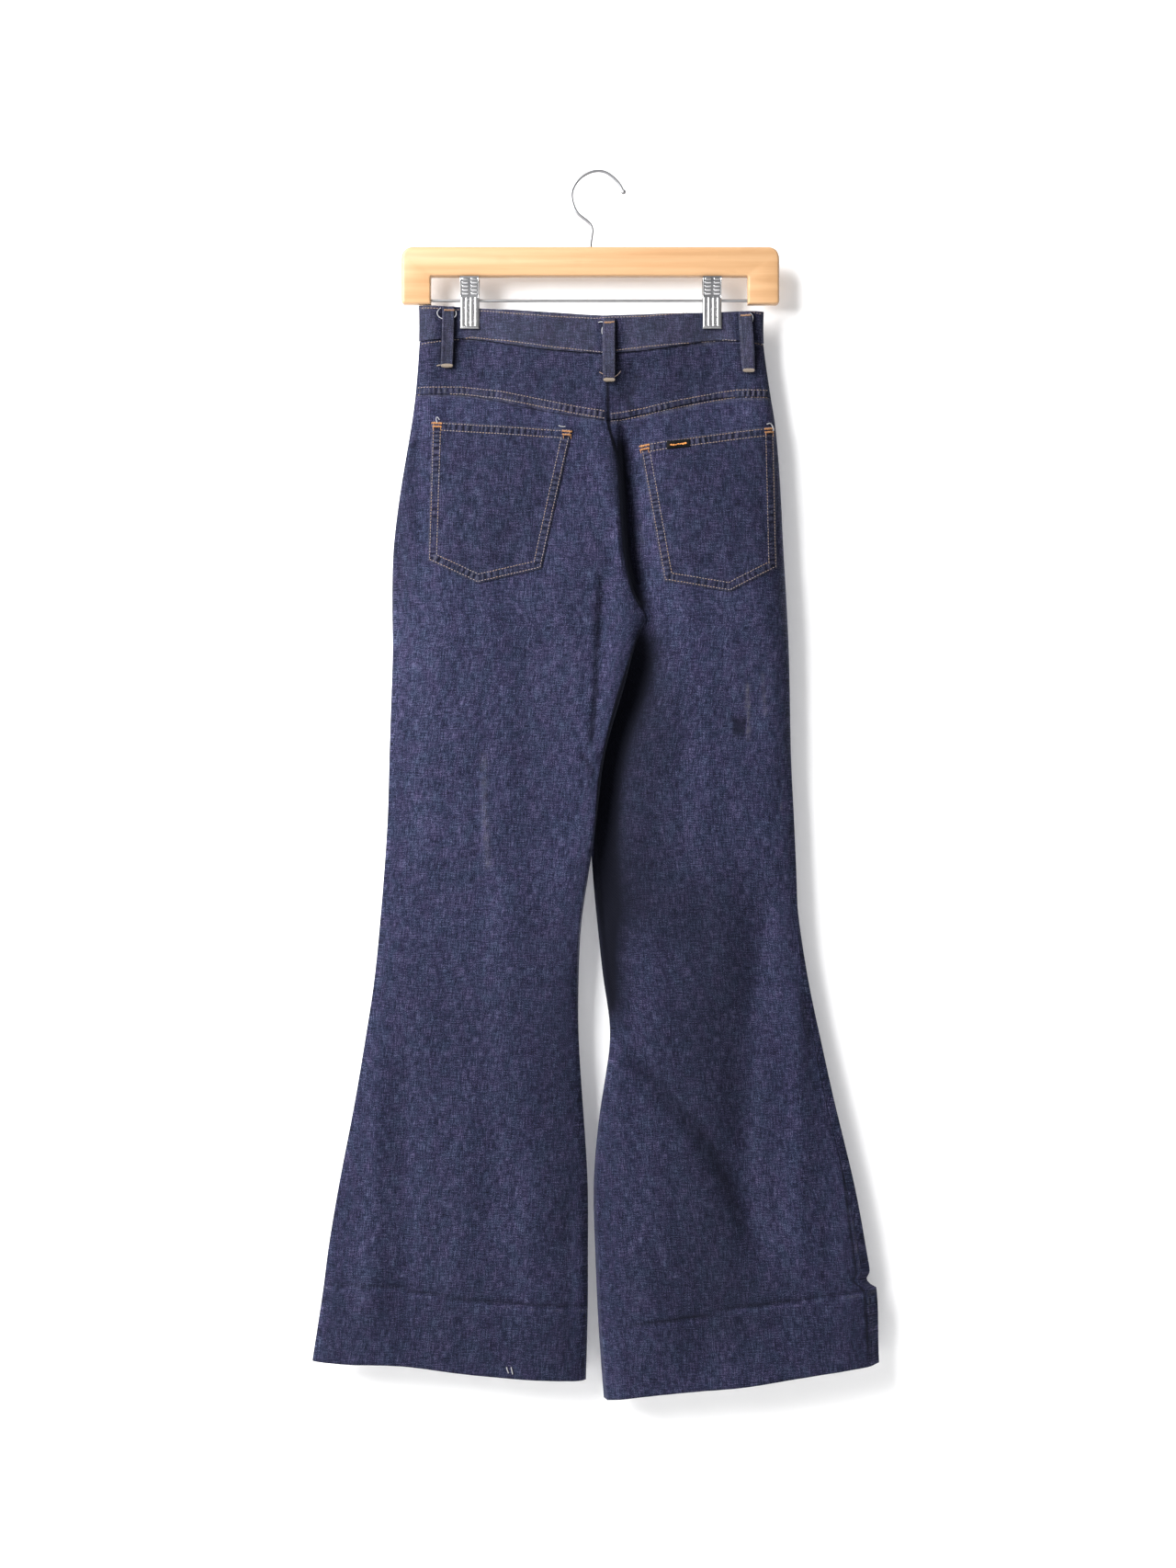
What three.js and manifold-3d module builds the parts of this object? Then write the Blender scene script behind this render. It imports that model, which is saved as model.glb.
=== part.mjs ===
// Flared jeans hung by the waistband from a wooden clip hanger.
//
// Millimetres, +Z up. The origin is the highest point inside the hanger's hook, where it hangs.
// The seat of the jeans faces -Y and the fly faces +Y, so +X is the wearer's right.
//
// The cloth is two layers, the seat layer and the fly layer, that meet at the side seams and, under
// the crotch, at the inner leg seams. Each leg is a table of sections from the waist to the hem. A place
// on a leg is (x, row): row counts down that table, and x runs from the side seam to the inner seam.

import * as THREE from "three";
import { mergeVertices } from "three/addons/utils/BufferGeometryUtils.js";
import Module from "manifold-3d";

const wasm = await Module();
wasm.setup();

// ---- Driving dimensions ----

const denim = 1.2; // one thickness of cloth
const doubled = 2 * denim; // the waistband and the turned-up hem
const seamGap = 0.3; // between pieces that are sewn to each other
const across = 12; // cells across a leg panel
const loopWidth = 12;
const loopDepth = 1.6;
const loopSlack = 2.8; // the most room under a belt loop
const pocketOpening = { wide: 82, endRow: 2.65 }; // curved opening of a front pocket, down to this row
const waistLap = 34; // how far the waistband's end with the button laps over the other

const clip = { leftX: -127, rightX: 118, width: 19, topZ: -107.5, noseZ: -159, plate: 1.2 };
const pinch = { half: 2.6, wide: 30, fullZ: -168, endZ: -300 }; // what the clips press flat
const bar = { leftX: -196, rightX: 186, topZ: -75.6, underZ: -105.8, footZ: -134 };
const barThick = 13;
const barFoot = { left: 30, right: 32 }; // widths of the two ends that reach down
const barRound = { top: 13, foot: 4.5, under: 1.5 };
const rod = { z: -129.5, radius: 1.5, inWood: 10 };
const wire = { radius: 1.65, inWood: 20, ball: 2.7 }; // the hook, with a ball at its tip

// ---- Sections of the legs ----
// sideZ, sideX and innerZ, innerX: where the side seam and the inner seam lie. The inner seam is the
// centre seam down to the crotch and the inner leg seam below it. back and front: how far each layer
// stands from the middle plane. sideY, innerY: depth of the seams below the crotch. seamBack, seamFront:
// depth of the centre seams above it. valley: depth of the hollow beside the centre seam.
// lift: how far the clips pull the section up. roll: how far the side seam turns on to the seat layer.

const shared = [
  { at: "waistTop", back: 12, front: 9, seamBack: 14, seamFront: 9, lift: 1, frontDrop: 12 },
  { at: "waistSeam", back: 12, front: 10, seamBack: 14, seamFront: 11, lift: 8, frontDrop: 12 },
  { at: "yoke", back: 14, front: 13, seamBack: 13, seamFront: 14, lift: 7, frontDrop: 8 },
  { at: "hip", back: 18, front: 16, seamBack: 13, seamFront: 17, lift: 4, frontDrop: 2 },
  { at: "seat", back: 21, front: 18, seamBack: 14, seamFront: 18, lift: 0, frontDrop: 0 },
  { at: "lowSeat", back: 23, front: 18, seamBack: 15, seamFront: 15, lift: 0, frontDrop: 0 },
  { at: "aboveCrotch", back: 24, front: 18, seamBack: 15, seamFront: 4, lift: 0, frontDrop: 0 },
  { at: "crotch", back: 24, front: 17, seamBack: 13, seamFront: -13, lift: 0, frontDrop: 0 },
  { at: "underCrotch", back: 24, front: 16 },
  { at: "thigh", back: 22, front: 15 },
  { at: "midThigh", back: 19, front: 14 },
  { at: "lowThigh", back: 16, front: 13 },
  { at: "parting", back: 14, front: 12 },
  { at: "aboveKnee", back: 12, front: 11 },
  { at: "knee", back: 12, front: 11 },
  { at: "underKnee", back: 12, front: 11 },
  { at: "calf", back: 14, front: 12 },
  { at: "flare", back: 17, front: 14 },
  { at: "lowFlare", back: 19, front: 16 },
  { at: "hemFold", back: 20, front: 17 },
  { at: "hem", back: 22, front: 19 },
];

const leftLeg = [
  { at: "waistTop", sideZ: -135, sideX: -178, innerZ: -147, innerX: 11, innerY: 0, sideY: 0 },
  { at: "waistSeam", sideZ: -173, sideX: -178, innerZ: -185, innerX: 11, innerY: 0, sideY: 0 },
  { at: "yoke", sideZ: -226, sideX: -182, innerZ: -252, innerX: 11, innerY: 0, sideY: 0 },
  { at: "hip", sideZ: -262, sideX: -187, innerZ: -295, innerX: 22, innerY: 0, sideY: 0 },
  { at: "seat", sideZ: -320, sideX: -197, innerZ: -345, innerX: 25, innerY: 0, sideY: 0 },
  { at: "lowSeat", sideZ: -375, sideX: -204, innerZ: -390, innerX: 28.5, innerY: 0, sideY: 0 },
  { at: "aboveCrotch", sideZ: -415, sideX: -205.5, innerZ: -425, innerX: 36.5, innerY: 0, sideY: 0 },
  { at: "crotch", sideZ: -452, sideX: -205.5, innerZ: -452, innerX: 49, innerY: -13, sideY: 0 },
  { at: "underCrotch", sideZ: -485, sideX: -205, innerZ: -478, innerX: 40, innerY: -13, sideY: 0 },
  { at: "thigh", sideZ: -530, sideX: -206.5, innerZ: -525, innerX: 28, innerY: -12, sideY: 0 },
  { at: "midThigh", sideZ: -590, sideX: -208.5, innerZ: -588, innerX: 9, innerY: -8, sideY: 0 },
  { at: "lowThigh", sideZ: -650, sideX: -210, innerZ: -650, innerX: 2, innerY: -8, sideY: 0 },
  { at: "parting", sideZ: -705, sideX: -213.5, innerZ: -705, innerX: -6, innerY: -3, sideY: 0 },
  { at: "aboveKnee", sideZ: -760, sideX: -218, innerZ: -760, innerX: -14.5, innerY: -1, sideY: 0 },
  { at: "knee", sideZ: -820, sideX: -224, innerZ: -820, innerX: -17, innerY: 0, sideY: 0 },
  { at: "underKnee", sideZ: -875, sideX: -232.5, innerZ: -875, innerX: -17, innerY: 0, sideY: -1 },
  { at: "calf", sideZ: -945, sideX: -244, innerZ: -945, innerX: -12.5, innerY: 0, sideY: -3 },
  { at: "flare", sideZ: -1020, sideX: -258.5, innerZ: -1020, innerX: -7.5, innerY: 0, sideY: -6 },
  { at: "lowFlare", sideZ: -1090, sideX: -270, innerZ: -1092, innerX: -7.5, innerY: 0, sideY: -8 },
  { at: "hemFold", sideZ: -1125, sideX: -274, innerZ: -1148, innerX: -7.5, innerY: 0, sideY: -9 },
  { at: "hem", sideZ: -1200, sideX: -285.5, innerZ: -1221, innerX: -9.5, innerY: 0, sideY: -10 },
];

const rightLeg = [
  { at: "waistTop", sideZ: -141, sideX: 170, innerZ: -147, innerX: 11, innerY: 0, valley: 14, roll: 0 },
  { at: "waistSeam", sideZ: -175, sideX: 170, innerZ: -185, innerX: 11, innerY: 0, valley: 14, roll: 0 },
  { at: "yoke", sideZ: -228, sideX: 177.5, innerZ: -252, innerX: 11, innerY: 0, valley: 8, roll: 0 },
  { at: "hip", sideZ: -262, sideX: 183, innerZ: -295, innerX: 22, innerY: 0, valley: 4, roll: 0 },
  { at: "seat", sideZ: -320, sideX: 187.5, innerZ: -345, innerX: 25, innerY: 0, valley: 0, roll: 0 },
  { at: "lowSeat", sideZ: -375, sideX: 190, innerZ: -390, innerX: 28.5, innerY: 0, valley: 0, roll: 0 },
  { at: "aboveCrotch", sideZ: -415, sideX: 192.5, innerZ: -425, innerX: 36.5, innerY: 0, valley: 0, roll: 0 },
  { at: "crotch", sideZ: -452, sideX: 194.5, innerZ: -452, innerX: 49, innerY: -13, valley: 9, roll: 0 },
  { at: "underCrotch", sideZ: -485, sideX: 196, innerZ: -478, innerX: 34, innerY: -2, valley: 5, roll: 0 },
  { at: "thigh", sideZ: -530, sideX: 197, innerZ: -525, innerX: 21, innerY: 3, valley: 0, roll: 0 },
  { at: "midThigh", sideZ: -590, sideX: 198, innerZ: -588, innerX: 2, innerY: 5, valley: -2, roll: 0 },
  { at: "lowThigh", sideZ: -650, sideX: 201, innerZ: -650, innerX: -5, innerY: 5, valley: -1, roll: 0 },
  { at: "parting", sideZ: -705, sideX: 203.5, innerZ: -705, innerX: -3, innerY: 3, valley: 3, roll: 0 },
  { at: "aboveKnee", sideZ: -760, sideX: 207, innerZ: -760, innerX: 2, innerY: 1, valley: 8, roll: 2 },
  { at: "knee", sideZ: -820, sideX: 216, innerZ: -820, innerX: 8.5, innerY: 0, valley: 10, roll: 5 },
  { at: "underKnee", sideZ: -875, sideX: 228, innerZ: -875, innerX: 16, innerY: 0, valley: 11, roll: 7 },
  { at: "calf", sideZ: -945, sideX: 243.5, innerZ: -945, innerX: 5, innerY: 0, valley: 13, roll: 9 },
  { at: "flare", sideZ: -1020, sideX: 262, innerZ: -1020, innerX: -2, innerY: 0, valley: 16, roll: 9 },
  { at: "lowFlare", sideZ: -1090, sideX: 274.5, innerZ: -1094, innerX: 0, innerY: 0, valley: 18, roll: 8 },
  { at: "hemFold", sideZ: -1127, sideX: 280.5, innerZ: -1165, innerX: 3, innerY: 0, valley: 19, roll: 9 },
  { at: "hem", sideZ: -1204, sideX: 287.5, innerZ: -1239, innerX: 8.5, innerY: 0, valley: 20, roll: 9 },
];

const legs = { left: join(leftLeg), right: join(rightLeg) };
const row = Object.fromEntries(shared.map((section, i) => [section.at, i]));

// The largest folds, as troughs pressed into a layer along a path of [x, z] places.
const folds = [
  { name: "flap crease", layer: "back", path: [[11, -330], [10, -425], [-8, -582]], wide: 8, deep: 5 },
  { name: "seat fold", layer: "back", path: [[34, -200], [41, -262], [50, -335]], wide: 7, deep: 5 },
  { name: "pocket fold", layer: "back", path: [[-172, -240], [-177, -410]], wide: 9, deep: 5 },
  { name: "right trough", layer: "back", path: [[174, -730], [155, -850], [149, -1070]], wide: 22, deep: 6 },
  { name: "knee fold", layer: "back", path: [[20, -880], [104, -972]], wide: 14, deep: 4 },
  { name: "left trough", layer: "back", path: [[-192, -890], [-199, -1215]], wide: 20, deep: 6 },
  { name: "fly left", layer: "front", path: [[-95, -520], [-110, -760], [-130, -1120]], wide: 26, deep: 5 },
  { name: "fly right", layer: "front", path: [[110, -560], [118, -800], [150, -1100]], wide: 24, deep: 5 },
  { name: "whisker left", layer: "front", path: [[20, -400], [-70, -370], [-140, -372]], wide: 11, deep: 4 },
  { name: "whisker right", layer: "front", path: [[70, -410], [120, -384], [165, -380]], wide: 11, deep: 4 },
];

// ---- Small maths ----

function join(leg) {
  return leg.map((section, i) => ({ sideY: 0, roll: 0, ...shared[i], ...section }));
}

const clamp = (value, low, high) => Math.min(high, Math.max(low, value));
const mix = (a, b, share) => a + (b - a) * share;
const smooth = (share) => {
  const t = clamp(share, 0, 1);
  return t * t * (3 - 2 * t);
};

// Rises from 0 to 1 over reach. A power of 0.5 is a round edge and one above 1 a soft slope.
const rise = (distance, reach, power) => {
  const left = 1 - clamp(distance / reach, 0, 1);
  return (1 - left * left) ** power;
};

// A column of a leg's table at any row, on a smooth curve through its sections.
function column(leg, name, at) {
  const table = legs[leg];
  const i = clamp(Math.floor(at), 0, table.length - 2);
  const t = clamp(at - i, 0, 1);
  const value = (k) => table[clamp(k, 0, table.length - 1)][name] ?? 0;
  const [a, b, c, d] = [value(i - 1), value(i), value(i + 1), value(i + 2)];
  const cubic = 2 * b + (c - a) * t + (2 * a - 5 * b + 4 * c - d) * t * t + (3 * b - a - 3 * c + d) * t ** 3;
  return cubic / 2;
}

// ---- The cloth's surface ----

const clipBump = (x, wide) =>
  Math.exp(-(((x - clip.leftX) / wide) ** 2)) + Math.exp(-(((x - clip.rightX) / wide) ** 2));

const clipPress = (x) =>
  Math.exp(-(((x - clip.leftX) / pinch.wide) ** 4)) + Math.exp(-(((x - clip.rightX) / pinch.wide) ** 4));

function heightAt(leg, layer, x, at) {
  const side = column(leg, "sideX", at);
  const share = clamp((x - side) / (column(leg, "innerX", at) - side), 0, 1);
  const drop = layer === "front" ? column(leg, "frontDrop", at) * smooth(share) : 0;
  const line = mix(column(leg, "sideZ", at), column(leg, "innerZ", at), share);
  return line + column(leg, "lift", at) * clipBump(x, 42) - drop;
}

function foldDepth(layer, x, z) {
  let depth = 0;
  for (const fold of folds) {
    if (fold.layer !== layer) continue;
    let [nearest, share] = [Infinity, 0];
    const spans = fold.path.length - 1;
    for (let i = 0; i < spans; i++) {
      const [[x0, z0], [x1, z1]] = [fold.path[i], fold.path[i + 1]];
      const length2 = (x1 - x0) ** 2 + (z1 - z0) ** 2;
      const t = ((x - x0) * (x1 - x0) + (z - z0) * (z1 - z0)) / length2;
      const s = clamp(t, 0, 1);
      const away = Math.hypot(x - mix(x0, x1, s), z - mix(z0, z1, s));
      if (away < nearest) [nearest, share] = [away, (i + s) / spans];
    }
    const fade = smooth(share / 0.25) * smooth((1 - share) / 0.25);
    depth += fold.deep * fade * Math.exp(-((nearest / fold.wide) ** 2));
  }
  return depth;
}

// Depth (y) of a layer: flat in the middle, round at the side seam, and shaped at the inner seam.
function depthAt(leg, layer, x, at) {
  const get = (name) => column(leg, name, at);
  const toSide = Math.abs(x - get("sideX"));
  const toInner = Math.abs(x - get("innerX"));
  const wide = Math.abs(get("innerX") - get("sideX"));
  const outward = layer === "back" ? -1 : 1;
  const flat = outward * get(layer);
  const aboveCrotch = at < row.crotch;
  const seam = aboveCrotch ? outward * get(layer === "back" ? "seamBack" : "seamFront") : get("innerY");
  const reach = Math.min(70, wide * 0.42);
  const round = 1 - rise(toSide, reach, 0.5);
  let y = flat + (get("sideY") - flat) * round;
  if (leg === "right" && layer === "back") {
    const valley = -get("valley");
    const dive = 9;
    y += (valley - flat) * (1 - smooth((toInner - dive) / 34));
    y += (seam - valley) * (1 - rise(toInner, dive, mix(0.5, 0.9, smooth(at - row.aboveCrotch))));
  } else {
    const edge = at > row.aboveCrotch ? reach : mix(26, reach, clamp(at - row.lowSeat, 0, 1));
    // The left leg's inner edge lies over the right leg's, so its fly layer comes up to it slowly.
    const isOver = leg === "left" && layer === "front";
    const slow = isOver ? smooth(at - row.aboveCrotch) * smooth(row.knee - at) : 0;
    y += (seam - flat) * (1 - rise(toInner, edge, mix(0.5, 1, slow)));
  }
  const z = heightAt(leg, layer, x, at);
  const free = rise(toSide, 24, 1) * rise(toInner, 16, 1);
  y -= outward * foldDepth(layer, x, z) * free;
  const pressed = clamp(clipPress(x), 0, 1) * smooth((z - pinch.endZ) / (pinch.fullZ - pinch.endZ));
  const held = outward * pinch.half;
  return mix(y, held, pressed * (toSide > 1 ? 1 : 0));
}

// turn runs round a leg's section: 0 is the side edge, up to pi is the seat layer and down to -pi is
// the fly layer. At both ends it meets the inner seam.
function ring(leg, turn, at) {
  const layer = turn >= 0 ? "back" : "front";
  const side = column(leg, "sideX", at);
  const x = mix(side, column(leg, "innerX", at), (1 - Math.cos(turn)) / 2);
  return new THREE.Vector3(x, depthAt(leg, layer, x, at), heightAt(leg, layer, x, at));
}

// The turn at which a place this far from the side edge lies.
function turnAt(leg, away, at) {
  const wide = Math.abs(column(leg, "innerX", at) - column(leg, "sideX", at));
  return Math.acos(1 - 2 * clamp(away / wide, 0, 1));
}

function outwardOf(leg, turn, at) {
  const step = 0.02;
  const low = Math.max(-Math.PI, turn - step);
  const high = Math.min(Math.PI, turn + step);
  const top = Math.max(0, at - step);
  const bottom = Math.min(shared.length - 1, at + step);
  const round = ring(leg, high, at).sub(ring(leg, low, at));
  const down = ring(leg, turn, bottom).sub(ring(leg, turn, top));
  return round.cross(down).multiplyScalar(leg === "left" ? -1 : 1).normalize();
}

// At the inner seam a panel's edge is mitred with the panel it is sewn to.
function mitred(leg, turn, at) {
  const own = outwardOf(leg, turn, at);
  if (Math.abs(turn) < Math.PI - 1e-6) return own;
  const other = leg === "left" ? "right" : "left";
  const neighbour = at < row.crotch - 1e-6 ? outwardOf(other, turn, at) : outwardOf(leg, -turn, at);
  return own.add(neighbour).normalize();
}

// ---- Solids from grids of points ----

// A closed wall. cells[i][j] holds the outer and the inner point, i down and j across.
function wallGeometry(cells, flip = false) {
  const rows = cells.length;
  const columns = cells[0].length;
  const position = [];
  for (const side of ["outer", "inner"]) {
    for (const line of cells) for (const cell of line) position.push(...cell[side].toArray());
  }
  const index = [];
  const outer = (i, j) => i * columns + j;
  const inner = (i, j) => rows * columns + i * columns + j;
  const quad = (a, b, c, d) => (flip ? index.push(a, c, b, a, d, c) : index.push(a, b, c, a, c, d));
  for (let i = 0; i + 1 < rows; i++) {
    for (let j = 0; j + 1 < columns; j++) {
      quad(outer(i, j), outer(i + 1, j), outer(i + 1, j + 1), outer(i, j + 1));
      quad(inner(i, j), inner(i, j + 1), inner(i + 1, j + 1), inner(i + 1, j));
    }
    quad(outer(i, 0), inner(i, 0), inner(i + 1, 0), outer(i + 1, 0));
    const last = columns - 1;
    quad(outer(i, last), outer(i + 1, last), inner(i + 1, last), inner(i, last));
  }
  for (let j = 0; j + 1 < columns; j++) {
    quad(outer(0, j), outer(0, j + 1), inner(0, j + 1), inner(0, j));
    const last = rows - 1;
    quad(outer(last, j), inner(last, j), inner(last, j + 1), outer(last, j + 1));
  }
  const geometry = new THREE.BufferGeometry();
  geometry.setAttribute("position", new THREE.Float32BufferAttribute(position, 3));
  geometry.setIndex(index);
  return geometry;
}

// A cloth panel round a leg from one turn to another, at the given rows, set back at its seams.
function panel(leg, rows, startTurn, endTurn, options = {}) {
  const { columns = across, thick = () => denim, sink = () => 0 } = options;
  const forward = endTurn(rows[0]) > startTurn(rows[0]);
  const cells = rows.map((at, i) => {
    const [start, end] = [startTurn(at), endTurn(at)];
    const line = [];
    for (let j = 0; j <= columns; j++) {
      const turn = mix(start, end, j / columns);
      const point = ring(leg, turn, at);
      const out = mitred(leg, turn, at);
      const edgeStep = (j === 0 ? 1 : j === columns ? -1 : 0) * 0.01 * Math.sign(end - start);
      if (edgeStep) point.add(ring(leg, turn + edgeStep, at).sub(point).setLength(seamGap / 2));
      // The two legs face each other across a narrow groove just above the crotch.
      if (j === columns && Math.abs(at - row.crotch) < 1) point.x += leg === "left" ? -0.3 : 0.3;
      const rowStep = (i === 0 ? 1 : i === rows.length - 1 ? -1 : 0) * 0.01;
      if (rowStep) point.add(ring(leg, turn, at + rowStep).sub(ring(leg, turn, at)).setLength(seamGap / 2));
      point.addScaledVector(out, -sink(at, turn));
      line.push({ outer: point, inner: point.clone().addScaledVector(out, -thick(at)) });
    }
    return line;
  });
  return wallGeometry(cells, (leg === "right") === forward);
}

// A piece that lies on a layer: the layer's own points, moved out. down and over are shares of the
// piece's height and width, and place(down, over) gives [x, z, lifted].
function patch(layer, down, over, thick, place) {
  const cells = down.map((v) =>
    over.map((u) => {
      const [x, z, lifted = 0] = place(v, u);
      const { point, out } = onLayer(layer, x, z);
      const inner = point.clone().addScaledVector(out, seamGap + lifted);
      return { outer: inner.clone().addScaledVector(out, thick), inner };
    }),
  );
  return wallGeometry(cells, layer === "front");
}

const shares = (cells) => Array.from({ length: cells + 1 }, (_, i) => i / cells);

// The point of a layer at (x, z), and its outward direction there.
function onLayer(layer, x, z) {
  const leg = x < centreAt(z) ? "left" : "right";
  let [high, low] = [0, shared.length - 1];
  for (let i = 0; i < 40; i++) {
    const middle = (high + low) / 2;
    if (heightAt(leg, layer, x, middle) > z) high = middle;
    else low = middle;
  }
  const at = (high + low) / 2;
  const turn = turnAt(leg, Math.abs(x - column(leg, "sideX", at)), at) * (layer === "back" ? 1 : -1);
  return { point: ring(leg, turn, at), out: outwardOf(leg, turn, at) };
}

// Where the two legs part at a height: the centre seam, and the left leg's inner seam below it.
function centreAt(z) {
  let i = 0;
  while (i < leftLeg.length - 2 && leftLeg[i + 1].innerZ > z) i++;
  const share = clamp((leftLeg[i].innerZ - z) / (leftLeg[i].innerZ - leftLeg[i + 1].innerZ), 0, 1);
  return mix(leftLeg[i].innerX, leftLeg[i + 1].innerX, share);
}

function rowsBetween(first, last, steps) {
  const rows = [];
  for (let at = first; at < last; at++) {
    const n = steps(at);
    for (let k = 0; k < n; k++) rows.push(at + k / n);
  }
  rows.push(last);
  return rows;
}

// ---- Joins and cuts ----

function solid(geometry) {
  const plain = new THREE.BufferGeometry().setAttribute("position", geometry.getAttribute("position"));
  if (geometry.index) plain.setIndex(geometry.index);
  const merged = mergeVertices(plain.index ? plain.toNonIndexed() : plain, 1e-4);
  return new wasm.Manifold(
    new wasm.Mesh({
      numProp: 3,
      vertProperties: merged.getAttribute("position").array,
      triVerts: new Uint32Array(merged.index.array),
    }),
  );
}

function geometryOf(manifold) {
  const made = manifold.getMesh();
  const geometry = new THREE.BufferGeometry();
  geometry.setAttribute("position", new THREE.BufferAttribute(made.vertProperties, 3));
  geometry.setIndex(new THREE.BufferAttribute(made.triVerts, 1));
  return geometry;
}

// ---- The model ----

const jeans = new THREE.Group();

const finishes = {
  denim: { color: 0x2b3050, roughness: 0.92, metalness: 0 },
  label: { color: 0x131316, roughness: 0.8, metalness: 0 },
  brass: { color: 0x9a7440, roughness: 0.4, metalness: 1 },
  wood: { color: 0xe9c08a, roughness: 0.45, metalness: 0 },
  steel: { color: 0xc9cacc, roughness: 0.22, metalness: 1 },
};

function add(name, geometry, finish) {
  const mesh = new THREE.Mesh(geometry, new THREE.MeshStandardMaterial(finishes[finish]));
  mesh.name = name;
  jeans.add(mesh);
}

// ---- Leg panels: the seat side hangs from the yoke, the fly side from the waistband ----

const rollTurn = (leg) => (at) => turnAt(leg, column(leg, "roll", at), at);
const always = (value) => () => value;
const hemThick = (at) => (at >= row.hemFold - 1e-6 ? doubled : denim);

// The pocket opening runs from the waist seam to the side seam on a quarter of an ellipse.
const openingAway = (leg, at) => {
  const [top, bottom] = [row.waistSeam, pocketOpening.endRow].map((edge) => column(leg, "sideZ", edge));
  const share = clamp((top - column(leg, "sideZ", at)) / (top - bottom), 0, 1);
  return pocketOpening.wide * Math.sqrt(1 - share * share);
};

function frontStart(leg) {
  return (at) => {
    if (at < pocketOpening.endRow - 1e-6) return -turnAt(leg, openingAway(leg, at), at);
    return rollTurn(leg)(at);
  };
}

const upperShares = [0, 0.28, 0.52, 0.72, 0.87, 0.96, 1];
const upperRows = upperShares.map((share) => mix(row.waistSeam, pocketOpening.endRow, share));
const backRows = rowsBetween(row.yoke, row.hem, always(2));
const frontRows = [...upperRows, ...rowsBetween(row.hip, row.hem, always(2))];
for (const leg of ["left", "right"]) {
  const roll = rollTurn(leg);
  const thick = { thick: hemThick };
  const yokeRows = rowsBetween(row.waistSeam, row.yoke, always(3));
  add(`back_${leg}`, panel(leg, backRows, roll, always(Math.PI), thick), "denim");
  add(`yoke_${leg}`, panel(leg, yokeRows, roll, always(Math.PI)), "denim");

  add(`front_${leg}`, panel(leg, frontRows, frontStart(leg), always(-Math.PI), thick), "denim");

  // The facing lies under the opening's edge and comes out flush at the side seam.
  const under = (at) => denim + (at < pocketOpening.endRow - 0.01 ? 1.7 : 2.7);
  const facingEnd = (at) => -turnAt(leg, openingAway(leg, at) + 6, at);
  const wideAt = (at) => Math.abs(column(leg, "innerX", at) - column(leg, "sideX", at));
  const awayAt = (at, turn) => (wideAt(at) * (1 - Math.cos(turn))) / 2;
  const sink = (at, turn) => under(at) * (1 - smooth((openingAway(leg, at) - awayAt(at, turn) - 3) / 14));
  const facing = panel(leg, upperRows, roll, facingEnd, { columns: 6, sink });
  add(`pocket_facing_${leg}`, facing, "denim");
}

// ---- Waistband: one doubled strip from the button's end, over the left, the seat and the right ----

const proud = 0.6; // how far the waistband and the loops stand above the yoke

function waistband() {
  const cells = [];
  const rows = rowsBetween(row.waistTop, row.waistSeam, always(3));
  rows.forEach((at, i) => {
    const line = [];
    const push = (leg, turn, lifted = 0) => {
      const out = mitred(leg, turn, at);
      const point = ring(leg, turn, at).addScaledVector(out, proud + lifted);
      if (i === rows.length - 1) point.z += seamGap;
      line.push({ outer: point, inner: point.clone().addScaledVector(out, -doubled) });
    };
    // The end with the button laps over the other by waistLap.
    for (const away of [waistLap, waistLap * 0.6, waistLap * 0.25, 1]) {
      const side = column("right", "sideX", at);
      const inner = column("right", "innerX", at);
      push("right", -turnAt("right", side - inner - away, at), doubled + seamGap);
    }
    const wide = column("left", "innerX", at) - column("left", "sideX", at);
    push("left", -turnAt("left", wide - 3, at), doubled + seamGap);
    push("left", -turnAt("left", wide - 9, at), 0);
    for (let j = 3; j <= 2 * across; j++) push("left", mix(-Math.PI, Math.PI, j / (2 * across)));
    for (let j = 1; j < 2 * across; j++) push("right", mix(Math.PI, -Math.PI, j / (2 * across)));
    push("right", -Math.PI + 0.06);
    cells.push(line);
  });
  return wallGeometry(cells);
}
add("waistband", waistband(), "denim");

// ---- Seat pockets, tab and fly: cut from a layer that follows the panel under them ----


function cover(leg, rows, startTurn, endTurn, lifted, thick) {
  const sink = () => -(seamGap + lifted + thick);
  return solid(panel(leg, rows, startTurn, endTurn, { thick: () => thick, sink }));
}

// A prism along y through an outline of [x, z] corners, in front of the middle plane or behind it.
function prism(corners, outward) {
  const shape = new THREE.Shape(corners.map(([x, z]) => new THREE.Vector2(x, z)));
  const geometry = new THREE.ExtrudeGeometry(shape, { depth: 90, bevelEnabled: false });
  return solid(geometry.rotateX(Math.PI / 2).translate(0, outward < 0 ? 0 : 90, 0));
}

// Corners as [x, z]: the upper edge, then round by the pointed lower edge.
const pockets = {
  left: [[-164.5, -253], [-23.5, -262], [-54, -402.5], [-118, -417.5], [-168, -394]],
  right: [[179, -258], [44.5, -276], [69, -414.5], [135, -425.5], [183, -401]],
};
for (const side of ["left", "right"]) {
  const over = cover(side, backRows, rollTurn(side), always(Math.PI), 0, denim);
  add(`seat_pocket_${side}`, geometryOf(over.intersect(prism(pockets[side], -1))), "denim");
}

const tab = [[71.5, -272.5], [95, -269.5], [96, -276], [72.5, -279]];
const tabCover = cover("right", backRows, rollTurn("right"), always(Math.PI), denim + seamGap, 0.8);
add("pocket_tab", geometryOf(tabCover.intersect(prism(tab, -1))), "label");

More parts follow.
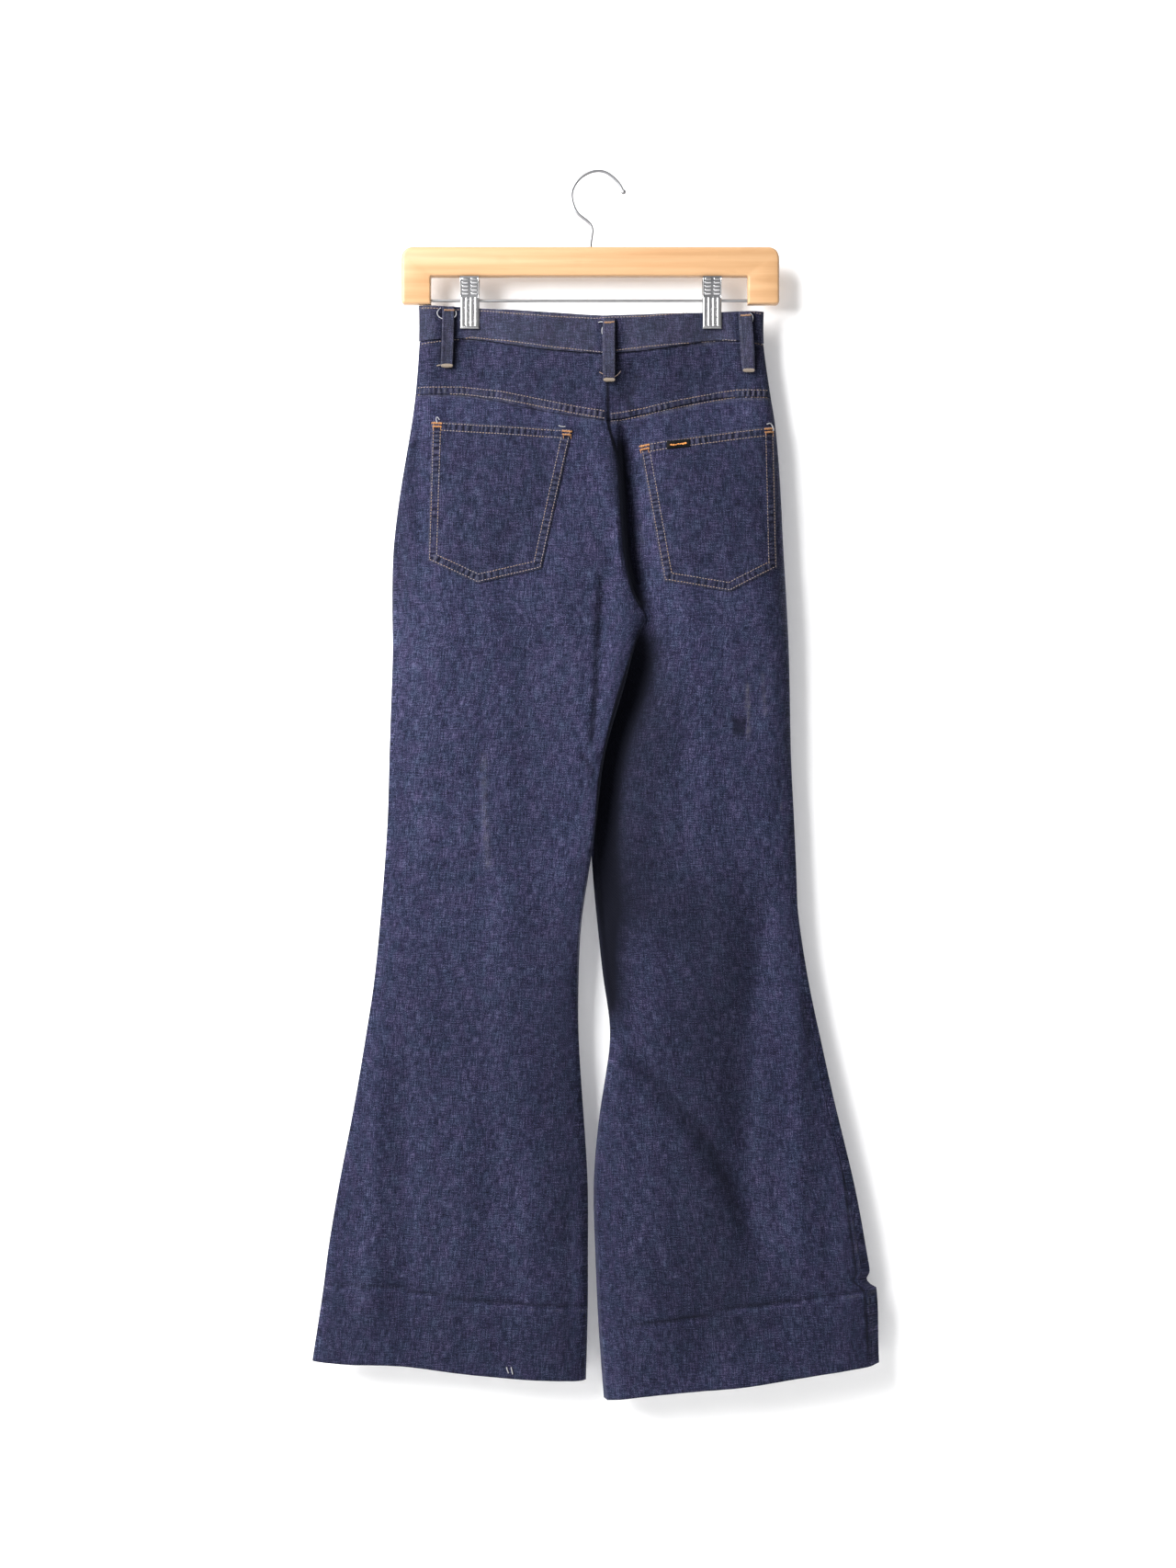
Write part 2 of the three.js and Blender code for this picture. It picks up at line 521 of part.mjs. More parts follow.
// The fly's outline is straight by the centre front and curves in at its lower end.
const fly = { topZ: -199, curveZ: -288, bottomZ: -336, wide: 40 };
const flyOutline = [[fly.wide, fly.topZ]];
for (const turn of [0, 0.25, 0.5, 0.75, 1].map((t) => (t * Math.PI) / 2)) {
  flyOutline.push([fly.wide * Math.cos(turn), mix(fly.curveZ, fly.bottomZ, Math.sin(turn))]);
}
const flyCorners = flyOutline.map(([away, z]) => [centreAt(z) - away, z]);
flyCorners.push([centreAt(fly.bottomZ) + 20, fly.bottomZ], [centreAt(fly.topZ) + 20, fly.topZ]);
const frontCover = cover("left", frontRows, frontStart("left"), always(-Math.PI), 0, denim);
add("fly", geometryOf(frontCover.intersect(prism(flyCorners, 1))), "denim");

// ---- Belt loops ----
// top and bottom are [x, z] of the middle of each end. clear: how far the ends stand off the cloth.

const loops = [
  { name: "belt_loop_seat_left", clear: 0.7, layer: "back", top: [-148.8, -136.5], bottom: [-150.5, -197] },
  { name: "belt_loop_seat_middle", clear: 0.45, layer: "back", top: [13.8, -150.5], bottom: [13.8, -212] },
  { name: "belt_loop_seat_right", clear: 0.2, layer: "back", top: [151, -142], bottom: [154.5, -202] },
  { name: "belt_loop_fly_left", clear: 0.1, layer: "front", top: [-92, -141], bottom: [-92, -199] },
  { name: "belt_loop_fly_right", clear: 0.8, layer: "front", top: [98, -144], bottom: [98, -202] },
];

for (const loop of loops) {
  const place = (v, u) => {
    const seat = loop.clear + (v < 0.8 ? proud : 0.2);
    const lifted = seat + loopSlack * Math.sin(Math.PI * v) ** 0.6;
    return [
      mix(loop.top[0], loop.bottom[0], v) + (u - 0.5) * loopWidth,
      mix(loop.top[1], loop.bottom[1], v),
      lifted,
    ];
  };
  add(loop.name, patch(loop.layer, shares(12), shares(2), loopDepth, place), "denim");
}

// ---- Waist button, on the end of the waistband that laps over ----

const button = { x: 30, z: -177 };
// [radius, height] from the middle of its back to the middle of its face
const buttonProfile = [[0, 0], [8, 0], [8.6, 0.6], [8.6, 1.6], [7.6, 2.4], [4, 2.8], [0, 2.9]];

function buttonGeometry() {
  const { point, out } = onLayer("front", button.x, button.z);
  const profile = buttonProfile.map(([radius, height]) => new THREE.Vector2(radius, height));
  const geometry = new THREE.LatheGeometry(profile, 24);
  const seat = point.addScaledVector(out, proud + doubled + 3 * seamGap);
  const turned = new THREE.Quaternion().setFromUnitVectors(new THREE.Vector3(0, 1, 0), out);
  return geometry.applyQuaternion(turned).translate(seat.x, seat.y, seat.z);
}
add("waist_button", buttonGeometry(), "brass");

// ---- Hanger ----

// An outline drawn in (x, z), made deep along y about the middle plane, with its edges bevelled.
function slab(shape, deep, bevel) {
  const settings = { depth: deep - 2 * bevel, bevelEnabled: true, bevelSize: bevel, bevelThickness: bevel };
  const finer = { bevelOffset: -bevel, bevelSegments: 3, curveSegments: 8 };
  const geometry = new THREE.ExtrudeGeometry(shape, { ...settings, ...finer });
  geometry.translate(0, 0, -(deep - 2 * bevel) / 2);
  return geometry.rotateX(Math.PI / 2);
}

// A round rod along x.
function rodGeometry(radius, from, to, z) {
  const geometry = new THREE.CylinderGeometry(radius, radius, to - from, 20);
  return geometry.rotateZ(Math.PI / 2).translate((from + to) / 2, 0, z);
}

// An outline through [x, z, round] corners, each rounded by as much as it says.
function roundedShape(corners) {
  const shape = new THREE.Shape();
  corners.forEach(([x, z, round], i) => {
    const [before, after] = [corners.at(i - 1), corners[(i + 1) % corners.length]].map(([toX, toZ]) => {
      const span = Math.hypot(toX - x, toZ - z);
      return [x + (round * (toX - x)) / span, z + (round * (toZ - z)) / span];
    });
    if (i === 0) shape.moveTo(...before);
    else shape.lineTo(...before);
    if (round > 0) shape.quadraticCurveTo(x, z, ...after);
  });
  shape.closePath();
  return shape;
}

const innerLeft = bar.leftX + barFoot.left;
const innerRight = bar.rightX - barFoot.right;
const barShape = roundedShape([
  [bar.leftX, bar.footZ, barRound.foot],
  [bar.leftX, bar.topZ, barRound.top],
  [bar.rightX, bar.topZ, barRound.top],
  [bar.rightX, bar.footZ, barRound.foot],
  [innerRight, bar.footZ, 0],
  [innerRight, bar.underZ, barRound.under],
  [innerLeft, bar.underZ, barRound.under],
  [innerLeft, bar.footZ, 0],
]);

const rodFrom = innerLeft - rod.inWood;
const rodTo = innerRight + rod.inWood;
const hookX = -4.7;
const wood = solid(slab(barShape, barThick, 3));
const rodHole = solid(rodGeometry(rod.radius + seamGap, rodFrom - seamGap, rodTo + seamGap, rod.z));
const hookHole = solid(
  new THREE.CylinderGeometry(wire.radius + seamGap, wire.radius + seamGap, 2 * wire.inWood + 2, 20)
    .rotateX(Math.PI / 2)
    .translate(hookX, 0, bar.topZ),
);
add("hanger_bar", geometryOf(wood.subtract(rodHole).subtract(hookHole)), "wood");
add("hanger_rod", rodGeometry(rod.radius, rodFrom, rodTo, rod.z), "steel");

// Hook: a wire bent over the top, with a ball at its tip.
const hookPath = [
  [hookX, bar.topZ - wire.inWood],
  [hookX, -72],
  [-3.2, -56.5],
  [-6, -51],
  [-19, -39.5],
  [-24, -22],
  [-20, -11],
  [-12, -3],
  [0, 1.65],
  [10, 0.6],
  [19, -5.5],
  [25, -12.5],
  [28.6, -19.5],
];

function wireGeometry(path, radius, steps, sides) {
  const places = path.map(([x, z]) => new THREE.Vector3(x, 0, z));
  const curve = new THREE.CatmullRomCurve3(places, false, "centripetal");
  const points = curve.getSpacedPoints(steps);
  const cells = points.map((point, i) => {
    const tangent = curve.getTangentAt(i / steps);
    const normal = new THREE.Vector3(-tangent.z, 0, tangent.x);
    return Array.from({ length: sides }, (_, k) => {
      const a = (2 * Math.PI * k) / sides;
      const sideways = new THREE.Vector3(0, radius * Math.sin(a), 0);
      return point.clone().addScaledVector(normal, radius * Math.cos(a)).add(sideways);
    });
  });
  const position = [];
  for (const ringPoints of cells) for (const v of ringPoints) position.push(...v.toArray());
  const index = [];
  for (let i = 0; i < steps; i++) {
    for (let k = 0; k < sides; k++) {
      const [a, b] = [i * sides + k, i * sides + ((k + 1) % sides)];
      index.push(a, a + sides, b, b, a + sides, b + sides);
    }
  }
  for (let k = 1; k + 1 < sides; k++) {
    index.push(0, k, k + 1);
    index.push(steps * sides, steps * sides + k + 1, steps * sides + k);
  }
  const geometry = new THREE.BufferGeometry();
  geometry.setAttribute("position", new THREE.Float32BufferAttribute(position, 3));
  return geometry.setIndex(index);
}
const hookEnd = hookPath[hookPath.length - 1];
const ball = solid(new THREE.SphereGeometry(wire.ball, 20, 14).translate(hookEnd[0], 0, hookEnd[1]));
add("hanger_hook", geometryOf(solid(wireGeometry(hookPath, wire.radius, 60, 14)).add(ball)), "steel");

// Clips: two bent plates on a sleeve round the rod, that grip the waistband between them.
// Profile of the inner face of the plate as [how far out, z].
const plateProfile = [
  [9.2, clip.topZ + 1],
  [8.6, -112],
  [6.4, -119],
  [4.3, -125],
  [4.15, -131],
  [4.15, -152],
  [4.4, -155.5],
  [5.6, clip.noseZ],
];

// How far out the plate's inner face stands at a height.
function plateOut(z) {
  const i = plateProfile.findIndex(([, below]) => below <= z);
  const [[topOut, top], [lowOut, low]] = [plateProfile[i - 1], plateProfile[i]];
  return mix(topOut, lowOut, (top - z) / (top - low));
}

// Two columns of ridges for the thumb on each plate.
const grip = { count: 5, topZ: -109.4, apart: 3.5, radius: 0.7, long: 6.6, fromMiddle: 1.2 };

function plateShape(sign) {
  const inner = plateProfile.map(([out, z]) => new THREE.Vector2(sign * out, z));
  const outer = plateProfile.map(([out, z]) => new THREE.Vector2(sign * (out + clip.plate), z)).reverse();
  return new THREE.Shape([...inner, ...outer]);
}

// Across x between two places, from an outline drawn in (y, z).
function acrossX(shape, from, to) {
  const geometry = new THREE.ExtrudeGeometry(shape, { depth: to - from, bevelEnabled: false });
  return geometry.applyMatrix4(new THREE.Matrix4().makeBasis(
    new THREE.Vector3(0, 1, 0),
    new THREE.Vector3(0, 0, 1),
    new THREE.Vector3(1, 0, 0),
  )).translate(from, 0, 0);
}

for (const [side, x] of [["left", clip.leftX], ["right", clip.rightX]]) {
  for (const [layer, sign] of [["seat", -1], ["fly", 1]]) {
    let plate = solid(acrossX(plateShape(sign), x - clip.width / 2, x + clip.width / 2));
    for (let k = 0; k < grip.count; k++) {
      for (const half of [-1, 1]) {
        const ridge = new THREE.CylinderGeometry(grip.radius, grip.radius, grip.long, 10);
        const z = grip.topZ - grip.apart * k;
        const out = plateOut(z) + clip.plate - 0.25 * grip.radius;
        ridge.rotateZ(Math.PI / 2).translate(x + half * (grip.fromMiddle + grip.long / 2), sign * out, z);
        plate = plate.add(solid(ridge));
      }
    }
    add(`clip_${side}_${layer}_jaw`, geometryOf(plate), "steel");
  }
  const sleeve = solid(rodGeometry(3.75, x - 6, x + 6, rod.z));
  const bore = solid(rodGeometry(rod.radius + seamGap, x - 7, x + 7, rod.z));
  add(`clip_${side}_sleeve`, geometryOf(sleeve.subtract(bore)), "steel");
}

export default jeans;
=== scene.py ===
# Flared jeans on a clip hanger. Metres, +Z up, seat towards -Y.
import math
import random

import bmesh
import bpy
import numpy as np
from mathutils import Euler, Matrix, Vector
from mathutils.bvhtree import BVHTree


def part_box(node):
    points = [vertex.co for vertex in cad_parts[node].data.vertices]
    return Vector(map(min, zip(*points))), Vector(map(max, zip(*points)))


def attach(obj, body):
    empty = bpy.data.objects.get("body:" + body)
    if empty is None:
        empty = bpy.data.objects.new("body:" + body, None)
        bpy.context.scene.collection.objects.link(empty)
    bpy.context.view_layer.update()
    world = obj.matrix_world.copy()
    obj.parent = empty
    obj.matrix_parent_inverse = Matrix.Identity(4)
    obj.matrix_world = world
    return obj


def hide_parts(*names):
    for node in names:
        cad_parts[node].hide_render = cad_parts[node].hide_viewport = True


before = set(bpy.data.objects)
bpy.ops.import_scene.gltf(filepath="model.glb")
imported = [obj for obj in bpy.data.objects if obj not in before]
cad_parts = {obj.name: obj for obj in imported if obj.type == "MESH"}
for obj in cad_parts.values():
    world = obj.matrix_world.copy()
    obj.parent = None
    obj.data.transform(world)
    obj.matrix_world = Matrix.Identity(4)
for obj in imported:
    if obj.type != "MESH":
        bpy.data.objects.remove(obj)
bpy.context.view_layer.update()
print("frame loaded:", len(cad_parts), "nodes")

mm = 0.001
scene = bpy.context.scene

# Camera: level, in front of the middle of the view, far enough back to keep the sides straight
view = {"acrossAt": -7.4 * mm, "upAt": -618.5 * mm, "away": 2.6, "tall": 1.5866}


def makeCamera():
    data = bpy.data.cameras.new("camera")
    data.sensor_fit = "VERTICAL"
    data.sensor_height = 24
    data.lens = data.sensor_height * view["away"] / view["tall"]
    camera = bpy.data.objects.new("camera", data)
    camera.location = (view["acrossAt"], -view["away"], view["upAt"])
    camera.rotation_euler = Euler((math.pi / 2, 0, 0))
    scene.collection.objects.link(camera)
    scene.camera = camera


makeCamera()


# A socket with arithmetic: an expression on values adds its Math nodes
class Value:
    def __init__(self, sheet, socket):
        self.sheet = sheet
        self.socket = socket

    def math(self, operation, *others, **settings):
        inputs = dict(enumerate((self, *others)))
        return self.sheet.node("ShaderNodeMath", inputs, operation=operation, **settings)

    def __add__(self, other):
        return self.math("ADD", other)

    def __mul__(self, other):
        return self.math("MULTIPLY", other)

    def __sub__(self, other):
        return self.math("SUBTRACT", other)

    __radd__ = __add__

    def clamped(self):
        return self.math("ADD", 0.0, use_clamp=True)

    # 0 under low and 1 over high, with soft ends
    def between(self, low, high):
        inputs = {"Value": self, "From Min": low, "From Max": high}
        return self.sheet.node("ShaderNodeMapRange", inputs, interpolation_type="SMOOTHSTEP")


# One material's node sheet
class Sheet:
    def __init__(self, name):
        self.material = bpy.data.materials.new(name)
        self.material.use_nodes = True
        self.tree = self.material.node_tree
        self.shader = self.tree.nodes["Principled BSDF"]

    # A node of a type, with its settings first, then its sockets' values or links
    def node(self, kind, inputs=None, output=0, **settings):
        made = self.tree.nodes.new(kind)
        for name, value in settings.items():
            setattr(made, name, value)
        for name, value in (inputs or {}).items():
            self.plug(made.inputs[name], value)
        return Value(self, made.outputs[output])

    def plug(self, socket, value):
        if isinstance(value, Value):
            self.tree.links.new(value.socket, socket)
        else:
            socket.default_value = value

    def noise(self, place, scale, detail, roughness):
        values = {"Vector": place, "Scale": scale, "Detail": detail, "Roughness": roughness}
        return self.node("ShaderNodeTexNoise", values)

    def stretched(self, place, scale):
        return self.node("ShaderNodeMapping", {"Vector": place, "Scale": scale})

    # Noise whose grains are pulled out of round, scale being grains for each metre on each axis
    def grain(self, place, scale, detail, roughness):
        return self.noise(self.stretched(place, scale), 1.0, detail, roughness)

    def objectPlace(self):
        return self.node("ShaderNodeTexCoord", output=3)

    def mix(self, share, first, second, blend="MIX"):
        inputs = {"Factor": share, 6: first, 7: second}
        return self.node("ShaderNodeMix", inputs, output=2, data_type="RGBA", blend_type=blend)

    def bump(self, height, strength, distance):
        normal = self.node("ShaderNodeBump", {"Height": height, "Strength": strength, "Distance": distance})
        self.plug(self.shader.inputs["Normal"], normal)

    def set(self, **sockets):
        for name, value in sockets.items():
            self.plug(self.shader.inputs[name.replace("_", " ")], value)


def rgb(red, green, blue):
    return (red, green, blue, 1.0)


denim = {
    "deep": rgb(0.0012, 0.0015, 0.0052),
    "middle": rgb(0.0116, 0.0131, 0.0355),
    "pale": rgb(0.0760, 0.0770, 0.1420),
    "weft": rgb(0.1200, 0.1150, 0.1350),
    "warm": rgb(1.12, 0.97, 1.03),
    "cool": rgb(0.87, 1.04, 0.98),
    "weave": {"cloudy": 0.5, "slub": 1.05, "cross": 0.8, "fleck": 1.2},  # each noise's weight in the tone
}


# Indigo denim: dark warp with slubs running down the cloth, paler weft showing in flecks, worn at edges, and
# painted shade where the worn attribute is below 0
def makeDenim(name, tone=1.0, wear=0.0, streaks=0.3):
    sheet = Sheet(name)
    place = sheet.node("ShaderNodeUVMap", uv_map="cloth")
    broad = sheet.grain(place, (34, 5, 1), 4, 0.6)
    cloudy = sheet.grain(place, (150, 75, 1), 5, 0.8)
    slub = sheet.grain(place, (950, 85, 1), 3, 0.65)
    cross = sheet.grain(place, (100, 950, 1), 2, 0.6)
    fleck = sheet.grain(place, (1300, 1100, 1), 1, 0.6)
    weave = denim["weave"]
    level = broad * streaks + cloudy * weave["cloudy"] + slub * weave["slub"] + cross * weave["cross"]
    level = level + fleck * weave["fleck"] + (0.5 - sum(weave.values(), streaks) / 2)
    colour = sheet.mix(level.between(0.08, 0.56), denim["deep"], denim["middle"])
    colour = sheet.mix(level.between(0.45, 0.94), colour, denim["pale"])
    hue = sheet.grain(place, (60, 40, 3), 5, 0.8).between(0.35, 0.65)
    colour = sheet.mix(1.0, colour, sheet.mix(hue, denim["warm"], denim["cool"]), "MULTIPLY")
    # The worn attribute holds wear above 0, which pales the cloth toward the weft, and painted shade below 0,
    # which darkens it toward deep indigo
    worn = sheet.node("ShaderNodeAttribute", attribute_name="worn", output=2)
    patchy = sheet.grain(place, (300, 240, 1), 3, 0.65).between(0.36, 0.66)
    colour = sheet.mix((worn * (patchy * 0.7 + 0.3) + wear).clamped() * 0.7, colour, denim["weft"])
    # Painted shade: where the worn attribute is below 0 the colour is darkened toward deep indigo
    colour = sheet.mix((worn * -1).clamped(), colour, denim["deep"])
    if tone != 1.0:
        colour = sheet.mix(1.0, colour, rgb(tone, tone, tone), "MULTIPLY")
    sheet.set(Base_Color=colour, Roughness=0.9, Sheen_Weight=0.08, Sheen_Roughness=0.5)
    sheet.set(Sheen_Tint=rgb(0.5, 0.55, 0.8), Specular_IOR_Level=0.12)
    # Twill: fine diagonal ribs
    twill = {"Vector": place, "Scale": 210.0, "Distortion": 1.2, "Detail": 2.0}
    ribs = sheet.node("ShaderNodeTexWave", twill, output=1, wave_type="BANDS", bands_direction="DIAGONAL")
    sheet.bump(ribs * 0.35 + slub * 0.6 + cross * 0.4 + cloudy * 0.6, 0.5, 0.0009)
    return sheet.material


wornThread = rgb(0.15, 0.135, 0.155)


def makeThread(name, colour, worn):
    sheet = Sheet(name)
    place = sheet.objectPlace()
    fade = sheet.noise(place, 45.0, 3, 0.6).between(0.35, 0.7)
    twist = sheet.noise(place, 900.0, 2, 0.6)
    sheet.set(Base_Color=sheet.mix(fade * worn, colour, wornThread), Roughness=0.72, Sheen_Weight=0.2)
    sheet.bump(twist, 0.3, 0.0004)
    return sheet.material


def makeWood():
    sheet = Sheet("hangerWood")
    place = sheet.objectPlace()
    broad = sheet.grain(place, (7, 40, 60), 3, 0.55)
    grain = sheet.grain(place, (12, 250, 420), 4, 0.6)
    rings = sheet.node("ShaderNodeTexWave", {"Vector": sheet.stretched(place, (1.3, 14, 22)), "Scale": 1.1,
                                             "Distortion": 7.0, "Detail": 3.0, "Detail Scale": 0.5},
                       output=1, bands_direction="Z")
    specks = sheet.grain(place, (45, 500, 800), 3, 0.7).between(0.64, 0.8)
    blotch = sheet.grain(place, (30, 90, 90), 2, 0.5).between(0.62, 0.72)
    level = broad * 0.45 + grain * 0.45 + rings * 0.22 - 0.08
    colour = sheet.mix(level.between(0.2, 0.8), rgb(0.47, 0.280, 0.140), rgb(0.38, 0.207, 0.091))
    colour = sheet.mix((specks * 0.4 + blotch * 0.14).clamped(), colour, rgb(0.30, 0.155, 0.06))
    sheet.set(Base_Color=colour, Roughness=0.4 + grain * 0.1, Coat_Weight=0.25, Coat_Roughness=0.22)
    sheet.bump(grain * 0.6 + specks * 0.5, 0.1, 0.0005)
    return sheet.material


def makeSteel(name, roughness, colour):
    sheet = Sheet(name)
    place = sheet.objectPlace()
    smear = sheet.noise(place, 160.0, 4, 0.6)
    scratches = sheet.grain(place, (300, 300, 2200), 2, 0.6)
    sheet.set(Base_Color=colour, Metallic=1.0, Roughness=smear * 0.14 + roughness)
    sheet.bump(scratches + smear, 0.03, 0.0003)
    return sheet.material


def makeBrass():
    sheet = Sheet("buttonBrass")
    place = sheet.objectPlace()
    tarnish = sheet.noise(place, 380.0, 4, 0.65).between(0.35, 0.7)
    colour = sheet.mix(tarnish, rgb(0.55, 0.36, 0.15), rgb(0.24, 0.15, 0.07))
    sheet.set(Base_Color=colour, Metallic=1.0, Roughness=tarnish * 0.25 + 0.28)
    sheet.bump(tarnish, 0.15, 0.0003)
    return sheet.material


def makeTape():
    sheet = Sheet("tabTape")
    place = sheet.node("ShaderNodeUVMap", uv_map="cloth")
    weave = sheet.node("ShaderNodeTexWave", {"Vector": place, "Scale": 420.0, "Distortion": 0.6}, output=1,
                       bands_direction="DIAGONAL")
    colour = sheet.mix(weave * 0.5, rgb(0.001, 0.001, 0.001), rgb(0.004, 0.004, 0.004))
    sheet.set(Base_Color=colour, Roughness=0.75, Specular_IOR_Level=0.15)
    sheet.bump(weave, 0.35, 0.0004)
    return sheet.material


materials = {
    "denim": makeDenim("denim"),
    # The waistband, yokes, seat pockets and loops use darker copies of the denim: partly their own tone,
    # partly painted shade against the key light, which falls brightest at the top
    "band": makeDenim("denimBand", 0.86, 0.12, 0.6),
    "yoke": makeDenim("denimYoke", 0.8),
    "pocket": makeDenim("denimPocket", 0.85),
    "loops": makeDenim("denimLoops", 0.85, 0.14),
    "stitch": makeThread("stitchThread", rgb(0.175, 0.115, 0.085), 0.85),
    "tack": makeThread("tackThread", rgb(0.400, 0.170, 0.045), 0.2),
    "bandTack": makeThread("bandTackThread", rgb(0.290, 0.155, 0.075), 0.5),
    "loopTack": makeThread("loopTackThread", rgb(0.165, 0.128, 0.092), 0.3),
    "white": makeThread("whiteThread", rgb(0.30, 0.30, 0.32), 0.2),
    "orange": makeThread("orangeThread", rgb(0.60, 0.21, 0.03), 0.0),
    "wood": makeWood(),
    "steel": makeSteel("clipSteel", 0.16, rgb(0.80, 0.80, 0.81)),
    # Darker steel on the jaws' floor between the ribs and on the clips' other shown parts: on the floor it is
    # painted shade in the grooves between the ribs
    "darkSteel": makeSteel("clipFloorSteel", 0.3, rgb(0.28, 0.28, 0.29)),
    "wire": makeSteel("wireSteel", 0.34, rgb(0.28, 0.28, 0.29)),
    "rod": makeSteel("rodSteel", 0.3, rgb(0.5, 0.5, 0.51)),
    "brass": makeBrass(),
    "tape": makeTape(),
}
print("materials made:", len(materials))


# Small maths on numbers and on arrays alike
def smooth(value):
    t = np.clip(value, 0.0, 1.0)
    return t * t * (3 - 2 * t)


def blend(first, second, share):
    return first + (second - first) * share


# 1 at 0, falling away to each side over a width
def bell(value, wide):
    return np.exp(-((value / wide) ** 2))


# How far places lie from a path of (x, z) in mm: the distance, the side (+1 to the right of a path that
# runs down), how far along the path the nearest point is, and the path's length
def pathDistance(x, z, path):
    best = np.full(x.shape, 1e9)
    side = np.ones(x.shape)
    along = np.zeros(x.shape)
    gone = 0.0
    for (x0, z0), (x1, z1) in zip(path, path[1:]):
        dx, dz = x1 - x0, z1 - z0
        span = math.hypot(dx, dz)
        t = np.clip(((x - x0) * dx + (z - z0) * dz) / span**2, 0, 1)
        awayX, awayZ = x - (x0 + t * dx), z - (z0 + t * dz)
        away = np.hypot(awayX, awayZ)
        nearer = away < best
        best = np.where(nearer, away, best)
        side = np.where(nearer, np.sign(awayZ * dx - awayX * dz), side)
        along = np.where(nearer, gone + t * span, along)
        gone += span
    return best, side, along, gone


# A fold along a path of (x, z) in mm. deep is how far a trough goes in, and below 0 it is a ridge. left and
# right are the widths of its flanks, and fade is the share of its length over which each end dies away
def fold(path, deep, left, right, fade=0.25):
    return {"path": path, "deep": deep, "left": left, "right": right, "fade": fade}


seatFolds = [
    # Beside the centre seam
    fold([(27, -240), (29, -285), (32, -330), (35, -383), (46, -432)], 10, 4, 11, 0.16),
    fold([(18, -250), (21, -300), (24, -350), (30, -400), (40, -440)], -3.0, 12, 5, 0.2),
    fold([(39, -188), (34, -215), (38, -240)], 5, 10, 8, 0.3),
    fold([(7, -395), (6, -435), (3.3, -474), (2, -516), (-1, -555), (-5, -592)], 4.2, 3.4, 11, 0.15),
    fold([(-16, -586), (-9, -596), (-3, -603), (4, -614)], 2.6, 3, 4, 0.2),
    # Seat and pockets
    fold([(-176, -236), (-180, -300), (-176, -395)], 2.6, 7, 4),
    fold([(-60, -205), (-56, -262), (-48, -330)], 1.1, 10, 10, 0.3),
    fold([(96, -196), (88, -250), (84, -300)], 1.2, 9, 9, 0.3),
    fold([(-104, -196), (-110, -236), (-112, -290)], 1.0, 9, 9, 0.3),
    # Left leg
    fold([(-112, -585), (-112, -640), (-108, -706)], -1.6, 4, 4, 0.3),
    fold([(-120, -560), (-122, -660), (-116, -760)], 1.4, 6, 7, 0.3),
    fold([(-70, -440), (-84, -540), (-84, -660)], -1.4, 18, 14, 0.3),
    fold([(-150, -450), (-158, -560), (-160, -690)], 1.3, 16, 14, 0.3),
    fold([(-206, -700), (-212, -830), (-216, -960), (-222, -1100), (-232, -1200)], -3.0, 10, 26, 0.2),
    fold([(-190, -860), (-192, -960), (-194, -1090), (-190, -1220)], 4.2, 26, 8, 0.2),
    fold([(-172, -930), (-176, -1060), (-170, -1218)], -2.0, 7, 18, 0.2),
    fold([(-262, -1136), (-238, -1160), (-213, -1180)], 2.2, 6, 8, 0.3),
    fold([(-26, -1000), (-24, -1100), (-26, -1225)], 2.2, 8, 6, 0.2),
    fold([(-62, -760), (-74, -900), (-84, -1040), (-96, -1180)], 1.5, 18, 14, 0.3),
    fold([(-120, -880), (-134, -1010), (-146, -1150)], -1.3, 16, 18, 0.3),
    # Right leg
    fold([(176, -700), (168, -780), (160, -850), (152, -960), (150, -1062), (172, -1140)], 5.5, 20, 11, 0.18),
    fold([(206, -800), (204, -900), (206, -1040), (212, -1120)], -4.5, 13, 14, 0.2),
    fold([(22, -880), (60, -918), (108, -972), (154, -1050), (184, -1120)], 7, 10, 14, 0.2),
    fold([(22, -860), (52, -880), (92, -930)], -2.6, 8, 8, 0.3),
    fold([(92, -900), (104, -1000), (112, -1100)], -2.4, 22, 24, 0.3),
    fold([(50, -1071), (66, -1105), (88, -1148)], 2.4, 9, 11, 0.3),
    fold([(222, -1016), (225, -1080), (223, -1140)], -1.5, 3, 4),
    fold([(20, -1010), (26, -1090), (36, -1160)], -1.6, 7, 10, 0.3),
    fold([(66, -470), (58, -540), (50, -620), (44, -700), (42, -800)], 2.0, 14, 26, 0.2),
    fold([(118, -450), (116, -560), (108, -690)], -1.8, 16, 20, 0.3),
    fold([(156, -440), (160, -560), (156, -660)], 1.2, 14, 12, 0.3),
    fold([(84, -760), (96, -860), (100, -960)], -1.6, 16, 18, 0.3),
]

